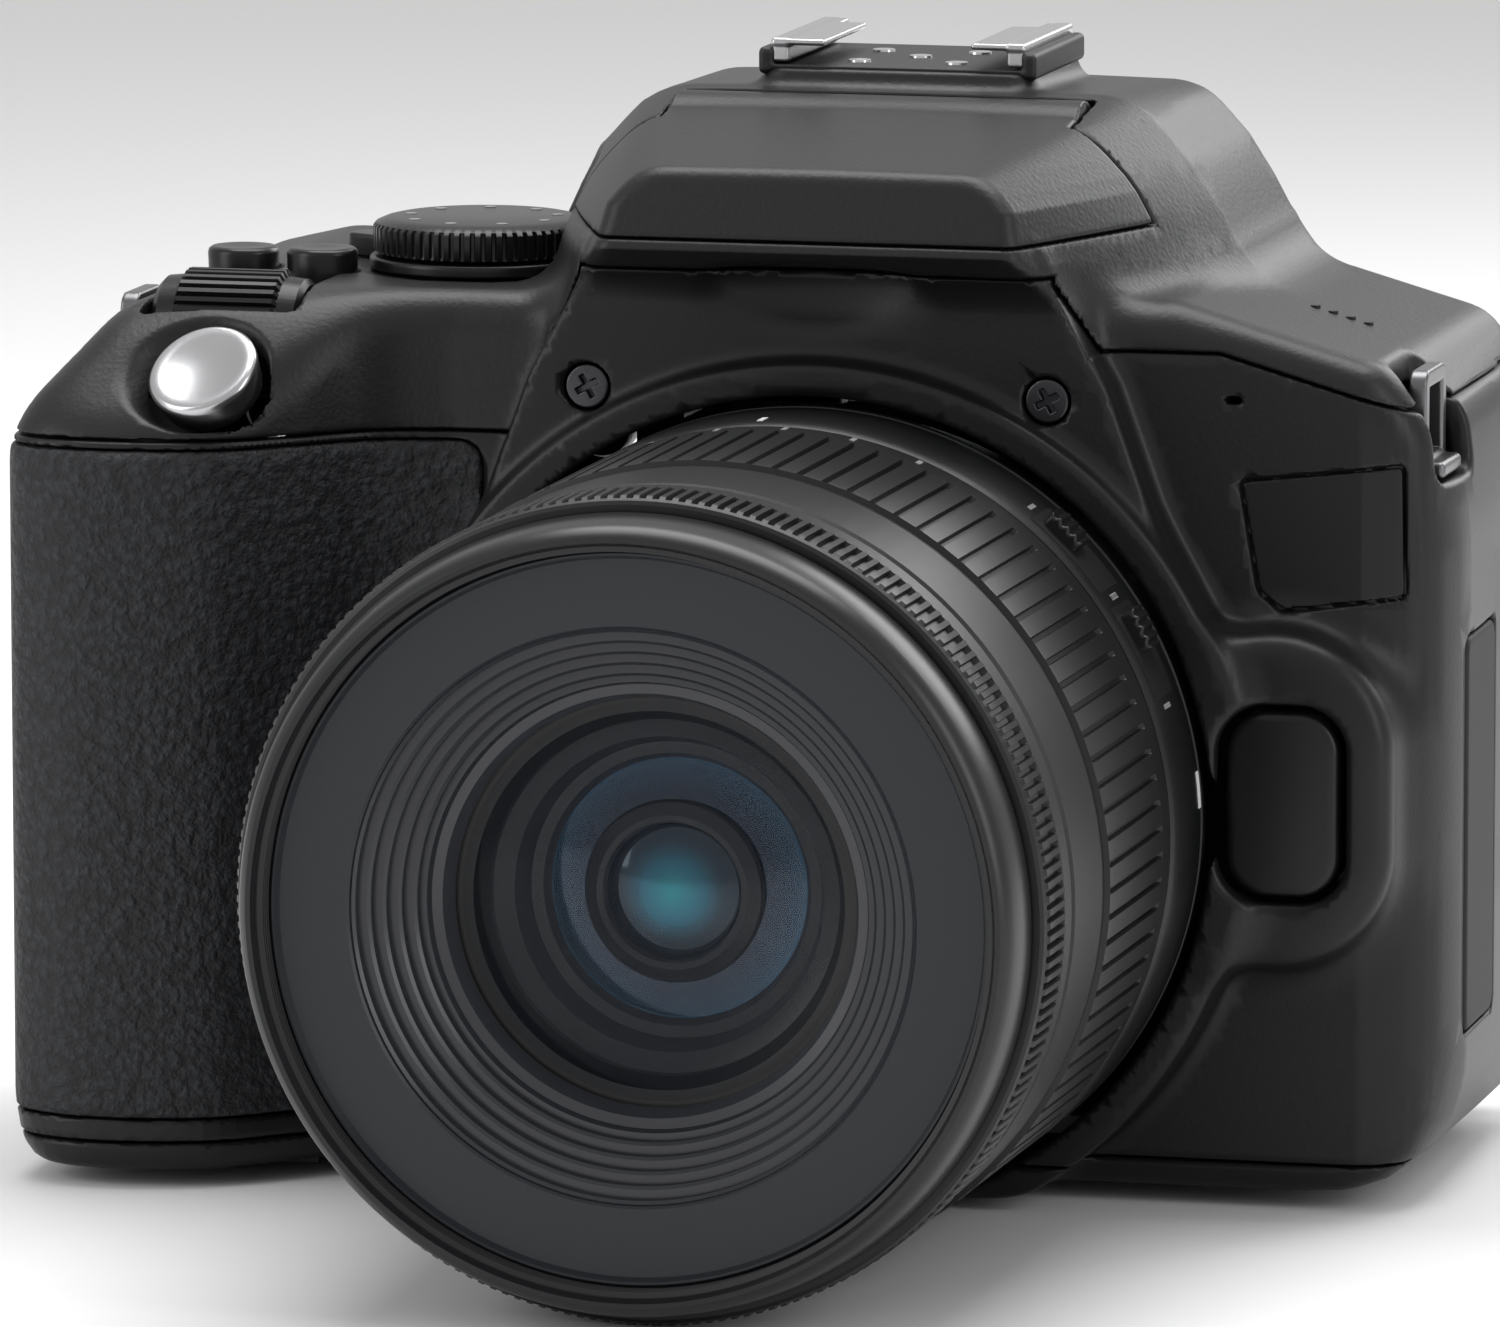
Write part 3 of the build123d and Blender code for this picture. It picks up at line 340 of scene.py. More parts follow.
def hump_d(x, y, z, inset=0.0):
    t = np.clip((y - Y(-3.2)) / 31.2, 0, 1)
    te = t * (1.25 - 0.25 * t)
    w0 = np.interp(z, [58, 77.5, 82.0, 84.8, 90, 96], [18.9, 18.0, 16.4, 13.6, 7.0, 0])
    w1 = np.interp(z, [58, 66, 72, 76.6, 79.9, 83.3, 87.0, 89.8, 96], [33, 32.2, 30.8, 29.6, 27.8, 25.6, 22.2, 18.4, 10])
    w = w0 * (1 - te) + w1 * te
    side = (np.abs(x) - w) * 0.86
    top = (z - (84.7 + 4.2 * t - 0.04 * np.maximum(y - Y(28), 0) - 0.0006 * x * x)) * 0.985
    front = (Y(-3.4) + np.where(z > 78.4, (z - 78.4) * 0.36, (78.4 - z) * 1.15) - y) * 0.9
    back = y - Y(BACK + 1.0)
    return smax(smax(smax(side, top, 1.9), front, 1.1), back, 2.5)


def body_d(x, y, z):
    hull = smax(sd_poly(x, y, PLAN), sd_poly(x, z, FRONT), 3.4)
    slope = (y - Y(-21)) * -0.669 + (z - 51.0) * 0.743 - 0.2
    hull = smax(hull, slope, 3.2)
    d = smin(hull, hump_d(x, y, z), 3.6)
    # scooped top corners of the fairing flow into the shoulders
    fair = smax(sd_poly(x, z, FAIR), Y(0.6) + np.maximum(z - 68, 0) * 0.02 - y, 0.9)
    fair = smax(fair, y - Y(14), 0.5)
    d = smin(d, fair, 1.6)
    r = np.sqrt(x * x + (z - AZ) ** 2)
    collar = smax(smax(r - 36.8, Y(-1.4) - y, 0.9), y - Y(12), 0.5)
    d = smin(d, collar, 1.5)
    # boss about the release button
    zz = np.clip(z, 30.0, 38.0)
    rl = np.sqrt(((x - 38.6) * 1.0) ** 2 + (z - zz) ** 2)
    lobe = smax(rl - 10.0, Y(-0.6) + 0.02 * np.maximum(rl - 5, 0) ** 2 - y, 2.2)
    lobe = smax(lobe, y - Y(9), 0.5)
    d = smin(d, lobe, 3.6)
    # finger scoop under the flash head
    sc = np.sqrt((x / 9.5) ** 2 + ((y - Y(-0.6)) / 2.6) ** 2 + ((z - 74.8) / 3.4) ** 2) - 1
    d = smax(d, -sc * 2.4, 0.8)
    return smax(d, -z, 1.2)


def cut(d, c, k=0.25):
    return smax(d, -c, k)


def shoe_block(x, y, z):
    s = sd_rect(x, y, 0, (SHOE_Y0 + SHOE_Y1) / 2, 12.2 - (z - 88) * 0.28, 9.9 - (z - 88) * 0.1, 2.4)
    return smax(smax(s, z - 90.2, 0.5), 84 - z, 0.3)


def top_region(x, y, z):
    fair = smax(sd_poly(x, z, FAIR), y - Y(13), 0.01)
    a = smax(smax(x + 20, 61.8 - z, 0.01), -fair, 0.01)
    b = smax(smax(np.abs(x) - 33.01, y - Y(6), 0.01), 76.6 - z, 0.01)
    c = smax(smax(np.abs(x) - 33.01, Y(13) - y, 0.01), 61.8 - z, 0.01)
    e = smax(smax(20 - x, (70.2 - np.maximum(x - 33, 0) * (10.7 / 37)) - z, 0.01), -fair, 0.01)
    f = smax(smax(np.abs(x) - 33.01, Y(5.9) - y, 0.01), 79.3 - z, 0.01)
    return np.minimum(np.minimum(np.minimum(a, b), np.minimum(c, e)), f) + 0 * (x + y + z)


def grip_band(x, y, z):
    right = -29.6 - 9.0 * np.clip((z - 50) / 12, 0, 1) ** 3 * 0
    d = smax(x - right, y - Y(40), 2.0)
    d = smax(d, z - (61.0 + 0.0 * x), 2.4)
    return smax(d, 5.0 - z, 0.6)


def thumb_band(x, y, z):
    return smax(smax(smax(x + 50.5, Y(44.2) - y, 0.5), 39.0 - z, 1.5), z - 53.0, 1.5)


def dials_cut(x, y, z, d):
    rm = np.sqrt((x - MODE[0]) ** 2 + (y - MODE[1]) ** 2)
    d = cut(d, smax(rm - 10.0, Z_PLATE - 0.02 - z, 0.3), 0.6)
    d = cut(d, smax(rm - 4.1, 60 - z, 0.1), 0.2)
    for c in (ISO, DISP):
        rr = np.sqrt((x - c[0]) ** 2 + (y - c[1]) ** 2)
        d = cut(d, smax(rr - 3.35, 60 - z, 0.1), 0.3)
    d = cut(d, sd_box(x, y, z, -58.6, -44.9, DIAL_C[0] - 6.35, DIAL_C[0] + 6.35, 60, 90, 1.0), 0.5)
    return d


def shut_frame(x, y, z):
    px, py, pz = x - SHUT[0], y - SHUT[1], z - SHUT[2]
    h = px * SN[0] + py * SN[1] + pz * SN[2]
    r2 = np.maximum(px * px + py * py + pz * pz - h * h, 0)
    return np.sqrt(r2), h


def shut_cut(x, y, z, d):
    r, h = shut_frame(x, y, z)
    d = cut(d, smax(r - 5.05, np.abs(h) - 8, 0.1), 0.2)
    return cut(d, smax(r - 5.05 - (h + 1.3) * 0.75, np.abs(h) - 7, 0.1), 0.5)


def flash_region(x, y, z, g=0.0):
    """Space of the flash head."""
    rq = np.sqrt((y - FL_AX[0]) ** 2 + (z - FL_AX[1]) ** 2)
    a = np.minimum(smax(y - (FL_AX[0] - 5.9 - g), FL_Z + 0.2 + g - z, 0.01),
                   smax(smax(y - FL_AX[0], FL_AX[1] - z, 0.01), FL_R + 1.75 - rq, 0.01))
    b = smax(smax(np.abs(x) - (FL_HALF + 0.17 - g), y - (FL_AX[0] + 0.0), 0.01), FL_Z + 0.2 + g - z, 0.01)
    r = np.sqrt((y - FL_AX[0]) ** 2 + (z - FL_AX[1]) ** 2)
    c = smax(np.abs(x) - (FL_HALF + 0.17 - g), r - (FL_R + (0.45 if g == 0 else 0.1)), 0.01)
    return np.minimum(np.minimum(a, b), c) + 0 * (x + y + z)


def shell(x, y, z, t=2.2):
    d = body_d(x, y, z)
    return d, smax(d, -(d + t), 0.3)


def f_top(x, y, z):
    d, s = shell(x, y, z)
    slab = smax(smax(d, y - Y(29), 0.1), smax(z - (FL_Z + 0.1), FL_Z - 2.1 - z, 0.1), 0.1)
    cheek = smax(smax(d, np.abs(np.abs(x) - FL_HALF - 1.9) - 1.7, 0.1), np.abs(y - FL_AX[0]) - 6.5, 0.1)
    cheek = smax(cheek, FL_Z - 1 - z, 0.1)
    wall = smax(smax(d, np.sqrt((x - MODE[0]) ** 2 + (y - MODE[1]) ** 2) - 12.2, 0.1), 71.5 - z, 0.1)
    s = np.minimum(np.minimum(s, slab), np.minimum(cheek, wall))
    s = np.minimum(s, smin(s, shoe_block(x, y, z), 1.5))
    s = smax(s, top_region(x, y, z) + 0.09, 0.35)
    s = cut(s, flash_region(x, y, z), 0.3)
    rr = np.sqrt((y - FL_AX[0]) ** 2 + (z - FL_AX[1]) ** 2)
    s = cut(s, smax(smax(np.abs(x) - FL_HALF - 0.17, rr - FL_R - 0.75, 0.01), FL_AX[1] - z, 0.01), 0.2)
    s = shut_cut(x, y, z, s)
    s = dials_cut(x, y, z, s)
    s = cut(s, smax(sd_rect(x, z, 0, 74, 10.5, 7.5, 3), Y(38) - y, 0.1), 0.6)
    s = cut(s, smax(np.sqrt((x - DIOPTER[0]) ** 2 + (z - DIOPTER[1]) ** 2) - 3.95, Y(46.2) - y, 0.1), 0.3)
    for c, sx in ((LUG_R, 1), (LUG_L, -1)):
        b = sd_box(x, y, z, *(sorted((c[0] - 4.4 * sx, c[0] + 10 * sx))), c[1] - 5, c[1] + 5, 59.6 if sx > 0 else 61.9, 78, 1.8)
        s = cut(s, b, 0.8)
    return s


def f_front(x, y, z):
    d, s = shell(x, y, z)
    s = smax(s, -(top_region(x, y, z) - 0.09), 0.3)
    s = smax(s, y - (Y(44) - 0.08), 0.3)
    s = smax(s, 3.08 - z, 0.3)
    rub = smax(grip_band(x, y, z) - 0.05, -(d + 1.15), 0.2)
    s = cut(s, rub, 0.2)
    r = np.sqrt(x * x + (z - AZ) ** 2)
    s = cut(s, smax(r - 32.3, y - Y(16), 0.1), 0.3)
    s = cut(s, smax(r - 34.0, y - Y(0.6), 0.1), 0.5)
    s = shut_cut(x, y, z, s)
    s = cut(s, smax(sd_rect(x, z, REL[0], REL[1], 5.3, 8.2, 3.9), y - Y(10), 0.1), 0.8)
    s = cut(s, sd_box(x, y, z, 48, 60, PORT["y0"] - 0.2, PORT["y1"] + 0.2, PORT["z0"] - 0.2, PORT["z1"] + 0.2, 1.0), 0.3)
    s = cut(s, sd_box(x, y, z, 46.2, 62, LUG_R[1] - 5, LUG_R[1] + 5, 59.4, 80, 1.8), 0.8)
    badge = sd_poly(x, z, BADGE)
    s = cut(s, smax(badge, d * -1 - 0.55, 0.05), 0.25)
    for sx in (-19.5, 19.5):
        rr = np.sqrt((x - sx) ** 2 + (z - 66.4) ** 2)
        s = cut(s, smax(rr - 2.05, y - Y(2.2), 0.1), 0.25)
    for mx, mz in ((-28.9, 67.6), (34.2, 66.4)):
        s = cut(s, smax(sd_rect(x, z, mx, mz, 0.75, 0.32, 0.3), y - Y(9), 0.1), 0.1)
    return s


def f_rear(x, y, z):
    d, s = shell(x, y, z)
    s = smax(s, -(top_region(x, y, z) - 0.09), 0.3)
    s = smax(s, Y(44) + 0.08 - y, 0.3)
    s = smax(s, 3.08 - z, 0.3)
    back = smax(smax(d, Y(48.6) - y, 0.1), y - Y(49.9), 0.1)
    s = np.minimum(s, smax(smax(back, sd_box(x, y, z, -28, 50.5, Y(40), Y(60), 4.0, 61.0, 1), 0.1), -d - 60, 0.1))
    s = cut(s, smax(thumb_band(x, y, z) - 0.05, -(d + 1.15), 0.2), 0.2)
    s = cut(s, sd_box(x, y, z, LCD["x0"] - 0.4, 70, Y(49.9), 60, LCD["z0"] - 0.4, LCD["z1"] + 0.4, 0.8), 0.4)
    for z0, z1 in ((19.0, 21.8), (45.2, 48.0)):
        e = np.minimum(sd_box(x, y, z, LCD_AX[0] - 2.6, LCD_AX[0] + 2.2, Y(48.9), LCD_AX[1], z0, z1, 0.3),
                       smax(np.sqrt((x - LCD_AX[0]) ** 2 + (y - LCD_AX[1]) ** 2) - 3.0, np.abs(z - (z0 + z1) / 2) - 1.4, 0.4))
        s = smin(s, e, 0.3)
    s = cut(s, smax(np.sqrt((x - LCD_AX[0]) ** 2 + (y - LCD_AX[1]) ** 2) - 1.05, np.abs(z - 33.5) - 15.5, 0.1), 0.1)
    for cx, cz, rk in list(KEYS.values()) + [(PAD[0], PAD[1], 3.3)]:
        s = cut(s, smax(np.sqrt((x - cx) ** 2 + (z - cz) ** 2) - rk - 0.3, Y(44.5) - y, 0.1), 0.3)
    s = cut(s, smax(np.sqrt((x - PAD[0]) ** 2 + (z - PAD[1]) ** 2) - 9.4, Y(50.0) - y, 0.1), 0.4)
    return s


def f_bottom(x, y, z):
    d, s = shell(x, y, z)
    s = smax(s, z - 2.92, 0.3)
    s = cut(s, smax(np.sqrt(x * x + y * y) - 6.15, np.abs(z) - 9, 0.1), 0.3)
    s = cut(s, sd_box(x, y, z, DOOR["x0"] - 0.2, DOOR["x1"] + 0.2, DOOR["y0"] - 0.2, DOOR["y1"] + 0.2, -5, 6, 1.0), 0.2)
    r = np.sqrt(x * x + (z - AZ) ** 2)
    s = cut(s, smax(r - 32.3, y - Y(16), 0.1), 0.3)
    s = cut(s, smax(r - 34.0, y - Y(0.6), 0.1), 0.5)
    return s


def f_grip(x, y, z):
    d = body_d(x, y, z)
    s = smax(d - 0.12, -(d + 1.05), 0.4)
    s = smax(s, grip_band(x, y, z) + 0.06, 0.5)
    return cut(s, smax(sd_poly(x, z, FAIR) - 0.3, y - Y(14), 0.1), 0.3)


def f_thumb(x, y, z):
    d = body_d(x, y, z)
    s = smax(d - 0.25, -(d + 1.05), 0.4)
    return smax(s, thumb_band(x, y, z) + 0.06, 0.7)


def f_flash(x, y, z):
    d = body_d(x, y, z)
    s = smax(d, hump_d(x, y, z) - 1.0, 0.3)
    r = np.sqrt((y - FL_AX[0]) ** 2 + (z - FL_AX[1]) ** 2)
    cyl = smax(np.abs(x) - FL_HALF, r - FL_R, 0.2)
    a = smax(s, np.minimum(np.minimum(smax(y - (FL_AX[0] - 6.1), FL_Z + 0.35 - z, 0.01),
                                      smax(smax(y - (FL_AX[0] - 0.5), FL_AX[1] - z, 0.01), FL_R + 1.95 - r, 0.01)),
                           smax(smax(np.abs(x) - FL_HALF, y - FL_AX[0], 0.01), FL_Z + 0.35 - z, 0.01)), 0.35)
    s = smin(a, cyl, 0.4)
    s = cut(s, smax(np.abs(x) - 20, r - 1.06, 0.1), 0.1)
    return cut(s, sd_box(x, y, z, -12.5, 12.5, Y(1.0), Y(9.0), 70, 82.0, 0.4), 0.3)


BADGE = round_poly([(34.6, 59.9), (48.4, 61.5), (48.6, 50.3), (38.4, 49.0), (36.2, 50.6)], [0.8, 0.8, 0.8, 1.5, 1.5])


# ------------------------------------------------------------------ meshes
def fast_mesh(name, pts, faces_list, mat, normals=None, sharp=None):
    """faces_list: arrays of triangles and quads."""
    me = bpy.data.meshes.new(name)
    pts = np.asarray(pts, np.float32) * MM
    me.vertices.add(len(pts))
    me.vertices.foreach_set("co", pts.ravel())
    flat = np.concatenate([np.asarray(f, np.int32).ravel() for f in faces_list if len(f)])
    sizes = np.concatenate([np.full(len(f), f.shape[1], np.int32) for f in faces_list if len(f)])
    me.loops.add(len(flat))
    me.loops.foreach_set("vertex_index", flat)
    me.polygons.add(len(sizes))
    me.polygons.foreach_set("loop_start", np.concatenate([[0], np.cumsum(sizes)[:-1]]).astype(np.int32))
    me.update(calc_edges=True)
    me.validate()
    me.polygons.foreach_set("use_smooth", np.ones(len(me.polygons), bool))
    if normals is not None:
        me.normals_split_custom_set_from_vertices(np.asarray(normals, np.float32))
    elif sharp:
        me.set_sharp_from_angle(angle=math.radians(sharp))
    me.materials.append(mat)
    o = bpy.data.objects.new(name, me)
    bpy.context.scene.collection.objects.link(o)
    return o


def iso(name, func, lo, hi, h, mat, body, nodes=(), adapt=0.0):
    lo = np.array(lo, float)
    n = np.ceil((np.array(hi, float) - lo) / h).astype(int) + 1
    x = (lo[0] + h * np.arange(n[0]))[:, None, None]
    y = (lo[1] + h * np.arange(n[1]))[None, :, None]
    z = (lo[2] + h * np.arange(n[2]))[None, None, :]
    f = np.broadcast_to(func(x, y, z), n).astype(np.float32)
    f = np.clip(f, -3 * h, 3 * h)
    g = openvdb.FloatGrid(background=3 * h)
    g.copyFromArray(np.ascontiguousarray(f))
    p, tri, quad = g.convertToPolygons(0.0, adapt)
    p = lo + np.asarray(p, float) * h
    e = 0.04

    def val(q):
        return func(q[:, 0], q[:, 1], q[:, 2])
    for _ in range(2):
        nrm = np.stack([val(p + np.eye(3)[k] * e) - val(p - np.eye(3)[k] * e) for k in range(3)], 1) / (2 * e)
        ln = np.maximum(np.linalg.norm(nrm, axis=1, keepdims=True), 1e-6)
        if _ == 0:
            step = np.clip(val(p)[:, None] / ln, -0.25 * h, 0.25 * h)
            p = p - step * nrm / ln
    nrm = nrm / ln
    tri, quad = np.asarray(tri)[:, ::-1], np.asarray(quad)[:, ::-1]
    faces = [tri, quad]
    # outward winding
    q = quad if len(quad) else tri
    a, b2, c = p[q[:200, 0]], p[q[:200, 1]], p[q[:200, 2]]
    if np.sum(np.cross(b2 - a, c - a) * nrm[q[:200, 0]]) < 0:
        faces = [f2[:, ::-1] for f2 in faces]
    o = fast_mesh(name, p, faces, mat, nrm)
    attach(o, body)
    if nodes:
        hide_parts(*nodes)
    return o


def ring(name, prof, mat, body, nodes=(), segs=192, mod=None, c=(0.0, AZ), sharp=32, axis="y", origin=None):
    """Closed profile of (along axis, radius) turned about an axis; mod(angle array, profile index) adds to the radius."""
    prof = np.array(prof, float)
    k = len(prof)
    th = np.arange(segs) * 2 * math.pi / segs if not callable(mod) else mod(None, None)
    segs = len(th)
    R = np.repeat(prof[:, 1][:, None], segs, 1)
    if mod:
        R = R + mod(th, prof)
    A = np.repeat(prof[:, 0][:, None], segs, 1)
    if axis == "y":
        P = np.stack([c[0] + R * np.cos(th), A, c[1] + R * np.sin(th)], -1)
    elif axis == "z":
        P = np.stack([c[0] + R * np.cos(th), c[1] + R * np.sin(th), A], -1)
    elif axis == "x":
        P = np.stack([A, c[0] + R * np.cos(th), c[1] + R * np.sin(th)], -1)
    else:
        n = np.array(axis, float)
        u = np.cross(n, (0, 0, 1.0)); u = u / np.linalg.norm(u)
        v = np.cross(n, u)
        P = (np.array(origin) + A[..., None] * n + (R * np.cos(th))[..., None] * u + (R * np.sin(th))[..., None] * v)
    idx = np.arange(k * segs).reshape(k, segs)
    i2, j2 = np.roll(idx, -1, 0), np.roll(idx, -1, 1)
    ij = np.roll(i2, -1, 1)
    q = np.stack([idx, i2, ij, j2], -1).reshape(-1, 4)
    o = fast_mesh(name, P.reshape(-1, 3), [q], mat, None, sharp)
    # outward winding
    me = o.data
    import bmesh
    bm = bmesh.new()
    bm.from_mesh(me)
    bmesh.ops.remove_doubles(bm, verts=bm.verts, dist=1e-7)
    bmesh.ops.recalc_face_normals(bm, faces=bm.faces)
    bm.to_mesh(me)
    bm.free()
    me.polygons.foreach_set("use_smooth", np.ones(len(me.polygons), bool))
    me.set_sharp_from_angle(angle=math.radians(sharp))
    if body:
        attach(o, body)
    if nodes:
        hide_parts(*nodes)
    return o


def teeth(count, duty, inner_rows, depth, ease=0.12):
    """Square teeth: profile points whose flag is set drop by depth between teeth."""
    base = np.arange(count) * 2 * math.pi / count
    w = 2 * math.pi / count
    offs = np.array([0, duty, duty + ease, 1 - ease]) * w
    th = (base[:, None] + offs[None, :]).ravel()
    drop = np.tile([0, 0, 1, 1], count)

    def mod(t, prof):
        if t is None:
            return th
        return -np.array(inner_rows, float)[:, None] * depth * drop[None, :]
    return mod


# ------------------------------------------------------------------ body covers
H = 0.40
front = iso("front_cover_skin", f_front, (-71, Y(-12), 1), (56, Y(46), 80), H, M["body"], "camera", ["front_cover"], 0.02)
top = iso("top_cover_skin", f_top, (-71, Y(-12), 58), (56, Y(54), 94), H, M["top"], "camera", ["top_cover"], 0.02)
rear = iso("rear_cover_skin", f_rear, (-71, Y(42), 1), (56, Y(59), 76), H, M["body"], "camera", ["rear_cover"], 0.02)
bottom = iso("bottom_cover_skin", f_bottom, (-71, Y(-12), -2), (56, Y(54), 5), H, M["body"], "camera", ["bottom_cover"], 0.02)
grip = iso("grip_rubber_skin", f_grip, (-71, Y(-12), 3), (-27, Y(42), 63.5), H, M["leather"], "camera", ["grip_rubber"], 0.02)
thumb = iso("thumb_rubber_skin", f_thumb, (-71, Y(42), 37), (-48, Y(54), 55), H, M["leather"], "camera", ["thumb_rubber"], 0.02)
flash = iso("flash_head_skin", f_flash, (-30, Y(-6), 77), (30, Y(29), 92), 0.3, M["top"], "flash", ["flash_head"], 0.0)

# ------------------------------------------------------------------ lens
CAM = "camera"
# rear barrel with the lip that meets the body
ring("lens_rear_barrel", [(Y(-0.35), 32.2), (Y(-0.35), 33.0), (Y(-0.6), 33.25), (Y(-1.5), 33.25), (Y(-1.7), 32.95),
                          (Y(-2.0), 32.95), (Y(-2.2), 33.25), (Y(-11.3), 33.25), (Y(-11.9), 32.9), (Y(-11.9), 31.4),
                          (Y(-44.0), 31.4), (Y(-44.0), 29.0), (Y(-3.0), 29.0), (Y(-3.0), 24.4), (Y(-2.0), 24.4),
                          (Y(-2.0), 32.2)], M["lens"], CAM, ["lens_barrel"], 256)
# zoom ring: smooth bands either side of wide flat ribs
zr = [(Y(-12.3), 31.8), (Y(-12.3), 32.7), (Y(-12.7), 33.05), (Y(-15.8), 33.05), (Y(-16.0), 33.2), (Y(-16.3), 33.25),
      (Y(-34.4), 33.25), (Y(-34.8), 33.2), (Y(-35.0), 32.75), (Y(-45.2), 32.75), (Y(-45.6), 32.4), (Y(-45.6), 31.8)]
flags = [0, 0, 0, 0, 0, 1, 1, 0, 0, 0, 0, 0]
ring("zoom_grip", zr, M["ring"], "zoom", ["zoom_ring"], mod=teeth(98, 0.72, flags, 0.5, 0.05))
# inner barrel: bright band behind the focus ring
ring("inner_barrel_band", [(Y(-12.2), 27.1), (Y(-12.2), 28.5), (Y(-45.9), 28.5), (Y(-45.9), 32.2), (Y(-46.1), 32.45),
                           (Y(-46.15), 31.4), (Y(-56.3), 31.4), (Y(-56.3), 27.1)], M["band"], "lens_front",
     ["inner_barrel"], 256)
# focus ring: fine short teeth between smooth lips
fr = [(Y(-46.25), 31.8), (Y(-46.25), 32.5), (Y(-46.5), 32.75), (Y(-49.6), 32.75), (Y(-49.9), 33.0), (Y(-50.2), 33.15),
      (Y(-55.4), 33.15), (Y(-55.7), 32.95), (Y(-56.1), 32.8), (Y(-56.3), 32.5), (Y(-56.3), 31.8)]
fflag = [0, 0, 0, 0, 0, 1, 1, 0, 0, 0, 0]
ring("focus_grip", fr, M["ring"], "focus", ["focus_ring"], mod=teeth(196, 0.45, fflag, 0.6, 0.08))
# front bezel: satin rim, black step, flat nameplate ring, then the stepped baffle
bz = [(Y(-56.55), 31.0), (Y(-56.55), 31.9), (Y(-57.0), 32.0), (Y(-60.4), 31.5), (Y(-61.4), 31.1), (Y(-61.8), 30.6),
      (Y(-61.8), 30.2), (Y(-61.3), 29.9)]
ring("bezel_rim", bz + [(Y(-58.4), 29.9), (Y(-58.4), 31.0)], M["rim"], "lens_front", ["front_bezel"], 256)
thr = [(Y(-58.45), 30.6)]
yy = -61.2
while yy < -58.5:
    thr += [(Y(yy), 29.85), (Y(yy + 0.12), 29.85), (Y(yy + 0.3), 29.4), (Y(yy + 0.42), 29.4)]
    yy += 0.55
ring("filter_thread_ring", [(Y(-61.2), 30.6)] + thr[1:] + [thr[0]], M["deep"], "lens_front", (), 192)
ring("name_ring", [(Y(-57.6), 30.6), (Y(-59.3), 29.3), (Y(-59.5), 29.1), (Y(-59.5), 28.9), (Y(-58.9), 28.6), (Y(-58.7), 23.2),
                   (Y(-58.5), 23.0), (Y(-58.0), 22.9), (Y(-57.0), 23.4), (Y(-56.6), 30.6)], M["lensgrey"], "lens_front", (), 256)
steps = []
r0, y0 = 22.9, -58.2
for i in range(5):
    steps += [(Y(y0), r0), (Y(y0 + 0.25), r0 - 0.25), (Y(y0 + 0.95), r0 - 0.3)]
    r0 -= 1.0
    y0 += 0.95
    steps += [(Y(y0), r0 + 0.15)]
steps += [(Y(-53.2), 17.9), (Y(-51.6), 17.4)]
ring("stepped_baffle", steps + [(Y(-51.6), 19.0), (Y(-56.4), 23.6), (Y(-58.0), 23.6)], M["stepgrey"], "lens_front", (), 256)
ring("retaining_ring", [(Y(-51.6), 18.9), (Y(-52.6), 18.3), (Y(-52.9), 17.9), (Y(-52.6), 17.0), (Y(-51.6), 16.6),
                        (Y(-50.9), 16.4), (Y(-50.4), 18.9)], M["band"], "lens_front", (), 256)


def cap(name, r, ys, sag, thick, mat, body, nodes=(), n=14, segs=128):
    """Round glass element, its front bulging by sag towards -Y."""
    R = (r * r + sag * sag) / (2 * abs(sag))
    pr = []
    for i in range(n + 1):
        q = r * (1 - i / n)
        s = math.copysign(R - math.sqrt(R * R - q * q), sag)
        pr.append((ys + s, max(q, 1e-4)))
    pr = [(ys + sag + thick, 1e-4), (ys + sag + thick, r)] + pr
    return ring(name, pr, mat, body, nodes, segs, sharp=40)


CY = AZ * MM
cap("front_glass", 16.5, Y(-52.6), 2.6, 2.0, M["frontglass"], "lens_front", ["front_element"])
ring("glass_edge_black", [(Y(-50.3), 16.6), (Y(-49.9), 15.2), (Y(-47.6), 14.2), (Y(-47.2), 14.8), (Y(-47.2), 17.4),
                          (Y(-50.2), 17.4)], M["deep"], "lens_front", (), 192)
ring("inner_baffle_a", [(Y(-47.4), 14.6), (Y(-47.0), 14.0), (Y(-46.7), 12.7), (Y(-44.2), 11.9), (Y(-43.8), 12.4),
                        (Y(-43.8), 15.0), (Y(-47.2), 15.0)], M["lens"], "lens_front", (), 192)
ring("inner_baffle_b", [(Y(-44.4), 12.2), (Y(-44.2), 11.0), (Y(-43.6), 10.6), (Y(-41.0), 9.6), (Y(-40.8), 12.2)],
     M["rim"], "lens_front", (), 192)
# mid element: the brighter teal rings at 3 and 11 mm radius are painted reflection
g2 = painted_glow_glass("coated_mid_painted_glow", (0, 0, CY), [(0, (0.004, 0.02, 0.05)), (3.0, (0.01, 0.10, 0.16)), (6.0, (0.003, 0.02, 0.05)),
                                              (8.5, (0.002, 0.02, 0.05)), (11.0, (0.01, 0.07, 0.13)), (12.5, (0.0, 0.005, 0.01))], 0.09, 0.5)
cap("mid_glass", 12.1, Y(-44.6), 1.6, 1.2, g2, "lens_front")
# inner element: the bright teal centre, fading out by 4 mm, is a painted reflection spot
g3 = painted_glow_glass("coated_inner_painted_glow", (0, 0, CY), [(0, (0.01, 0.30, 0.36)), (2.2, (0.01, 0.16, 0.24)), (4.0, (0.0, 0.02, 0.04)),
                                                (6.0, (0.0, 0.01, 0.02))], 0.10, 0.6)
cap("inner_glass", 5.6, Y(-45.6), 1.1, 0.9, g3, "lens_front")
ring("inner_glass_seat", [(Y(-45.0), 5.5), (Y(-45.7), 5.7), (Y(-45.8), 6.2), (Y(-45.3), 7.2), (Y(-44.9), 7.4), (Y(-44.2), 6.5)],
     M["rim"], "lens_front", (), 128)

# focal scale dashes, index mark and switch plate on the rear barrel


